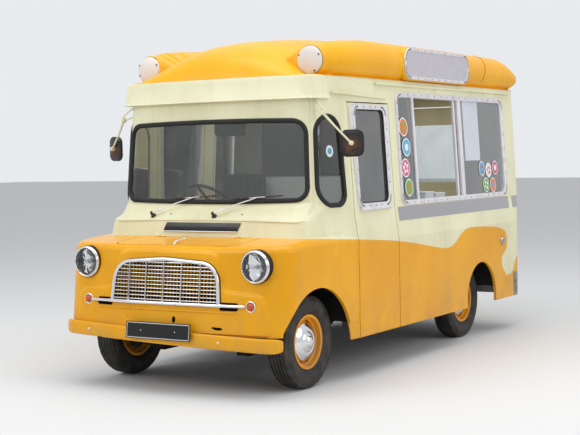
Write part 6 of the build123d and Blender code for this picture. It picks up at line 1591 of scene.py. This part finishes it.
# Place along, height, radius, colour of ground and motif, count of dots
STICKERS = [
    (-0.172, 1.735, 0.070, "orange", "green", 4), (-0.142, 1.585, 0.068, "blue", "white", 1),
    (-0.178, 1.432, 0.070, "pink", "white", 5), (-0.140, 1.285, 0.066, "green", "orange", 3),
    (1.245, 1.400, 0.062, "blue", "pink", 3), (1.385, 1.385, 0.062, "white", "orange", 5),
    (1.525, 1.402, 0.060, "pink", "white", 1), (1.315, 1.262, 0.062, "green", "white", 4),
    (1.460, 1.258, 0.062, "orange", "blue", 1)]
grounds, sticker_rims, motifs = {}, Shape(), {}
for y, z, radius, ground, motif, dots in STICKERS:
    out = -0.0035 if y < 0.5 else -0.0055
    disc(sticker_rims, y, z, radius, out + 0.0006)
    disc(grounds.setdefault(ground, Shape()), y, z, radius * 0.86, out + 0.0016)
    shape = motifs.setdefault(motif, Shape())
    reach, size = (0.0, 0.40) if dots == 1 else (radius * 0.42, 0.20)
    for n in range(dots):
        t = CIRCLE * n / dots + 0.5
        disc(shape, y + reach * math.cos(t), z + reach * math.sin(t), radius * size, out + 0.0026)
sticker_rims.done("sticker_rims", "sticker_white")
for kind, shapes in (("grounds", grounds), ("motifs", motifs)):
    for colour, shape in shapes.items():
        shape.done("sticker_" + kind + "_" + colour, "sticker_" + colour)
for name, mat, radius, out in (("quarter_sticker", "sticker_white", 0.040, -0.0075),
                               ("quarter_sticker_motif", "sticker_blue", 0.022, -0.0062)):
    badge = Shape()
    disc(badge, -0.232, 1.565, radius, out, quarter_at)
    badge.done(name, mat)
sheet = [on_wall(a, z, -0.0085) for z in (1.470, 1.955) for a in spaced(0.935, 1.235, 8)]
notice = Shape().sheet(sheet, [p - WALL_OUT * 0.001 for p in sheet], 9)
notice.done("blank_notice", "paper")
COUNTER_Z = 1.150
ACROSS, UPWARD = (1, 0, 0), (0, 0, 1)
tubs = Shape()
for x, y, wide, deep, tall in ((0.70, 0.36, 0.085, 0.075, 0.085), (0.70, 0.56, 0.085, 0.085, 0.070),
                               (0.66, 0.205, 0.060, 0.050, 0.045)):
    outline = rounded_box(wide, deep, 0.012, step=20.0)
    lid = [(a * 1.05, b * 1.05) for a, b in outline]
    tubs.plate(outline, (x, y, COUNTER_Z), ACROSS, UPWARD, 0.0005, tall - 0.006)
    tubs.plate(lid, (x, y, COUNTER_Z), ACROSS, UPWARD, tall - 0.006, tall + 0.004, 0.003)
tubs.done("counter_tubs", "enamel", slot="white_enamel")

# Driver's seat: two stuffed pads with sewn channels on a folded steel stand

SEAT_X = -0.42
SEAT_MID = (SEAT_X, -0.635, 0.906)
SEAT_WIDE = 0.207
BACK_MID = (SEAT_X, -0.4585, 1.163)
BACK_UP = Vector((0.0, 0.070, 0.9975))
PAD_STEPS = 56
CHANNELS = (-0.105, -0.035, 0.035, 0.105)


def pad(name, mid, up, half_long, low, high):
    """Stuffed pad: crowned over its middle, sides pulled in between the corners, channels sewn down."""
    out = LEFT.cross(up)
    marks = [math.sin(math.pi / 2 * (2 * i / PAD_STEPS - 1)) for i in range(PAD_STEPS + 1)]

    def plan(u, v):
        a = SEAT_WIDE * u * math.sqrt(1 - 0.14 * v * v) * (1 - 0.030 * (1 - v * v) * abs(u) ** 3)
        b = half_long * v * math.sqrt(1 - 0.14 * u * u) * (1 - 0.024 * (1 - u * u) * abs(v) ** 3)
        return a, b

    def crowned(u, v):
        r = min(1.0, max(abs(u), abs(v)))
        crown = 0.80 + 0.20 * math.cos(math.pi / 2 * u) * math.cos(math.pi / 2 * v)
        sewn = sum(math.exp(-((plan(u, v)[0] - c) / 0.006) ** 2) for c in CHANNELS)
        height = high * math.sqrt(max(0.0, 1 - r ** 5)) * crown
        height -= 0.011 * sewn * (1 - r ** 6) * (1 - smooth((abs(v) - 0.80) / 0.1))
        return height - 0.006 * math.exp(-((abs(v) - 0.84) / 0.022) ** 2) * (1 - r ** 8)

    def flat(u, v):
        return low * math.sqrt(max(0.0, 1 - max(abs(u), abs(v)) ** 12))

    def at(u, v, height=0.0):
        a, b = plan(u, v)
        return Vector(mid) + LEFT * a + up * b + out * height

    shape = Shape()
    for rise in (crowned, flat):
        verts = [at(u, v, rise(u, v)) for u in marks for v in marks]
        shape.put(verts, quads(len(marks), len(marks), around=False))
    rim = [(t, -1.0) for t in marks[:-1]] + [(1.0, t) for t in marks[:-1]]
    rim += [(-t, 1.0) for t in marks[:-1]] + [(-1.0, -t) for t in marks[:-1]]
    shape.tube([at(u, v) for u, v in rim], 0.0042, 8, closed=True)
    o = shape.done(name, "leather", slot="black_leathercloth", sharp=50)
    return o


cushion = pad("seat_cushion", SEAT_MID, Vector((0, 1, 0)), 0.229, -0.050, 0.052)
pad("seat_backrest", BACK_MID, BACK_UP, 0.246, -0.038, 0.044)
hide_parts("driver_seat")

stand = Shape()
wide = rounded_box(0.19, 0.205, 0.035)
panel = rounded_box(0.12, 0.10, 0.02)
STAND_Y = -0.625
PANEL_Z = 0.69
STAND = (SEAT_X, STAND_Y, 0.0)
stand.plate(rounded_box(0.17, 0.19, 0.03), STAND, ACROSS, UPWARD, 0.521, 0.850, 0.004)
stand.plate(wide, STAND, ACROSS, UPWARD, 0.521, 0.526, 0.002)
stand.plate(wide, STAND, ACROSS, UPWARD, 0.846, 0.856, 0.002)
stand.plate(panel, (SEAT_X, -0.815, PANEL_Z), ACROSS, (0, -1, 0), -0.002, 0.004, 0.003)
for side in (-1, 1):
    where = (SEAT_X + 0.17 * side, STAND_Y, PANEL_Z)
    stand.plate(panel, where, (0, 1, 0), (side, 0, 0), -0.002, 0.004, 0.003)
    for y in (-0.80, -0.45):
        screw_head(stand, (SEAT_X + 0.179 * side, y, 0.526), UPWARD, 0.007, 0.004)
stand.done("seat_stand", "satin_black", slot="black_plastic")

irons = Shape()
line = [(-0.55, 0.862), (-0.409, 0.862), (-0.409, 1.02), (-0.402, 1.20)]
line = round_path(line, [0, 0.02, 0.05, 0], closed=False)
for side in (-1, 1):
    irons.tube([Vector((SEAT_X + 0.150 * side, y, z)) for y, z in line], 0.0065, 10)
irons.done("seat_irons", "satin_black", slot="black_plastic")

# Mirror inside the windscreen, hung from the header
inside_mirror = Shape()
tilt = Vector((0.10, -0.99, 0.06)).normalized()
MIRROR_AT = Vector((0.115, -1.405, 1.742))
hanger = [MIRROR_AT - tilt * 0.004, MIRROR_AT + Vector((0, 0.012, 0.05)),
          MIRROR_AT + Vector((0, 0.010, 0.10))]
inside_mirror.plate(rounded_box(0.118, 0.060, 0.026), MIRROR_AT, (1, 0.10, 0), tilt, -0.008, 0.012, 0.008)
inside_mirror.tube(hanger, 0.006, 10)
inside_mirror.spin([(0, -0.004), (0.016, -0.004), (0.014, 0.006), (0.008, 0.012), (0, 0.013)],
                   MIRROR_AT + Vector((0, 0.010, 0.098)), (0, 0, -1), 24)
inside_mirror.done("inside_mirror", "satin_black", slot="black_plastic")

# Rear door: handle with its plate, and bright rims round the tail lamps
REARWARD = (0, 1, 0)
HANDLE_X, HANDLE_Z = 0.345, 1.10
rear_skin = cast(skin_tree("rear_door"), (HANDLE_X, 2.6, HANDLE_Z), (0, -1, 0))[0]
handle = Shape()
handle.plate(rounded_box(0.020, 0.045, 0.012), rear_skin, (-1, 0, 0), REARWARD, -0.0005, 0.006, 0.003)
handle.tube([rear_skin + Vector((0, t, 0)) for t in (0.004, 0.015, 0.030)], [0.011, 0.008, 0.008], 16)
lever = [Vector((0.010 - 0.012 * k, 0.030 + 0.002 * math.sin(k * 0.4), -0.0006 * k * k)) for k in range(10)]
handle.tube([rear_skin + v for v in lever],
            [0.0060, 0.0076, 0.0078, 0.0074, 0.0070, 0.0066, 0.0063, 0.0061, 0.0058, 0.0042], 12)
for z in (-0.034, 0.034):
    screw_head(handle, rear_skin + Vector((0, 0.0055, z)), REARWARD, 0.0045, 0.002)
handle.done("rear_door_handle", "chrome", body="rear_door", slot="bright_chrome")

rims = Shape()
TAIL_RIM = [(0.0352, 0.0), (0.0450, 0.0), (0.0440, 0.005), (0.0400, 0.0075), (0.0360, 0.0065),
            (0.0352, 0.003)]
TAIL_R = 0.038
tail_low, tail_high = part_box("tail_lamps")
for z in (tail_low[2] + TAIL_R, tail_high[2] - TAIL_R):
    rims.spin(TAIL_RIM, (tail_high[0] - TAIL_R, tail_low[1], z), REARWARD, 48)
rims.done("tail_lamp_rims", "chrome", slot="bright_chrome", mirror=True)

# Stage, camera, light

floor_mat = bpy.data.materials.new("studio_floor")
floor_mat.use_nodes = True
bsdf = floor_mat.node_tree.nodes["Principled BSDF"]
bsdf.inputs["Base Color"].default_value = (0.72, 0.72, 0.71, 1)
bsdf.inputs["Roughness"].default_value = 0.9
bpy.ops.mesh.primitive_plane_add(size=120.0, location=(0, 0, 0))
ground = bpy.context.active_object
ground.name = "stage_floor"
ground.data.materials.append(floor_mat)

world = bpy.data.worlds.new("studio")
bpy.context.scene.world = world
world.use_nodes = True
sky = world.node_tree
shade = sky.nodes["Background"]
shade.inputs[0].default_value = (0.93, 0.95, 1.0, 1)
shade.inputs[1].default_value = 0.66
pale = sky.nodes.new("ShaderNodeBackground")
pale.inputs[0].default_value = (0.90, 0.92, 0.95, 1)
pale.inputs[1].default_value = 0.90
path_kind = sky.nodes.new("ShaderNodeLightPath")
seen = sky.nodes.new("ShaderNodeMixShader")
straight = path_kind.outputs["Is Camera Ray"]
for kind in ("Is Glossy Ray", "Is Transmission Ray"):
    either = sky.nodes.new("ShaderNodeMath")
    either.operation = "MAXIMUM"
    sky.links.new(straight, either.inputs[0])
    sky.links.new(path_kind.outputs[kind], either.inputs[1])
    straight = either.outputs[0]
sky.links.new(straight, seen.inputs[0])
sky.links.new(shade.outputs[0], seen.inputs[1])
sky.links.new(pale.outputs[0], seen.inputs[2])
sky.links.new(seen.outputs[0], sky.nodes["World Output"].inputs[0])


def area(name, place, aim, size, power):
    """Rectangular lamp turned to a point."""
    light = bpy.data.lights.new(name, "AREA")
    light.shape = "RECTANGLE"
    light.size, light.size_y = size
    light.energy = power
    o = bpy.data.objects.new(name, light)
    o.location = place
    o.rotation_euler = (Vector(aim) - Vector(place)).to_track_quat("-Z", "Y").to_euler()
    bpy.context.collection.objects.link(o)


area("overhead", (1.0, -1.5, 8.5), (0, 0, 1), (9, 7), 440)
area("front_fill", (-4.5, -8.3, 6.2), (0, -0.5, 1.2), (5, 4), 215)
area("side_fill", (9.0, -1.0, 4.5), (0, 0, 1.2), (6, 4), 190)
area("inside_glow", (0.0, 0.6, 2.06), (0.0, 0.6, 0.6), (1.0, 2.2), 9)
area("cab_glow", (0.0, -0.95, 2.02), (0.0, -0.9, 0.6), (1.1, 0.5), 3)

# The photograph's camera, as fitted: focal length in pixels, place and three angles
PHOTO_WIDTH = 580.0
FOCAL_PIXELS = 1279.87
SENSOR = 36.0
EYE = (5.0894, -8.7094, 1.5424)
YAW, PITCH_ANGLE, ROLL = 0.5525, -0.0486, -0.0199
camera = bpy.data.cameras.new("photo_camera")
camera.sensor_width = SENSOR
camera.lens = FOCAL_PIXELS / PHOTO_WIDTH * SENSOR
camera.clip_end = 200.0
eye = bpy.data.objects.new("photo_camera", camera)
bpy.context.collection.objects.link(eye)
flat_ahead = Vector((-math.sin(YAW), math.cos(YAW), 0.0))
ahead = flat_ahead * math.cos(PITCH_ANGLE) + Vector((0, 0, math.sin(PITCH_ANGLE)))
level = Vector((math.cos(YAW), math.sin(YAW), 0.0))
square_up = level.cross(ahead)
right = math.cos(ROLL) * level + math.sin(ROLL) * square_up
up = -math.sin(ROLL) * level + math.cos(ROLL) * square_up
turn = Matrix((right, up, -ahead)).transposed().to_4x4()
eye.matrix_world = Matrix.Translation(EYE) @ turn
bpy.context.scene.camera = eye
bpy.context.scene.view_settings.view_transform = "Standard"
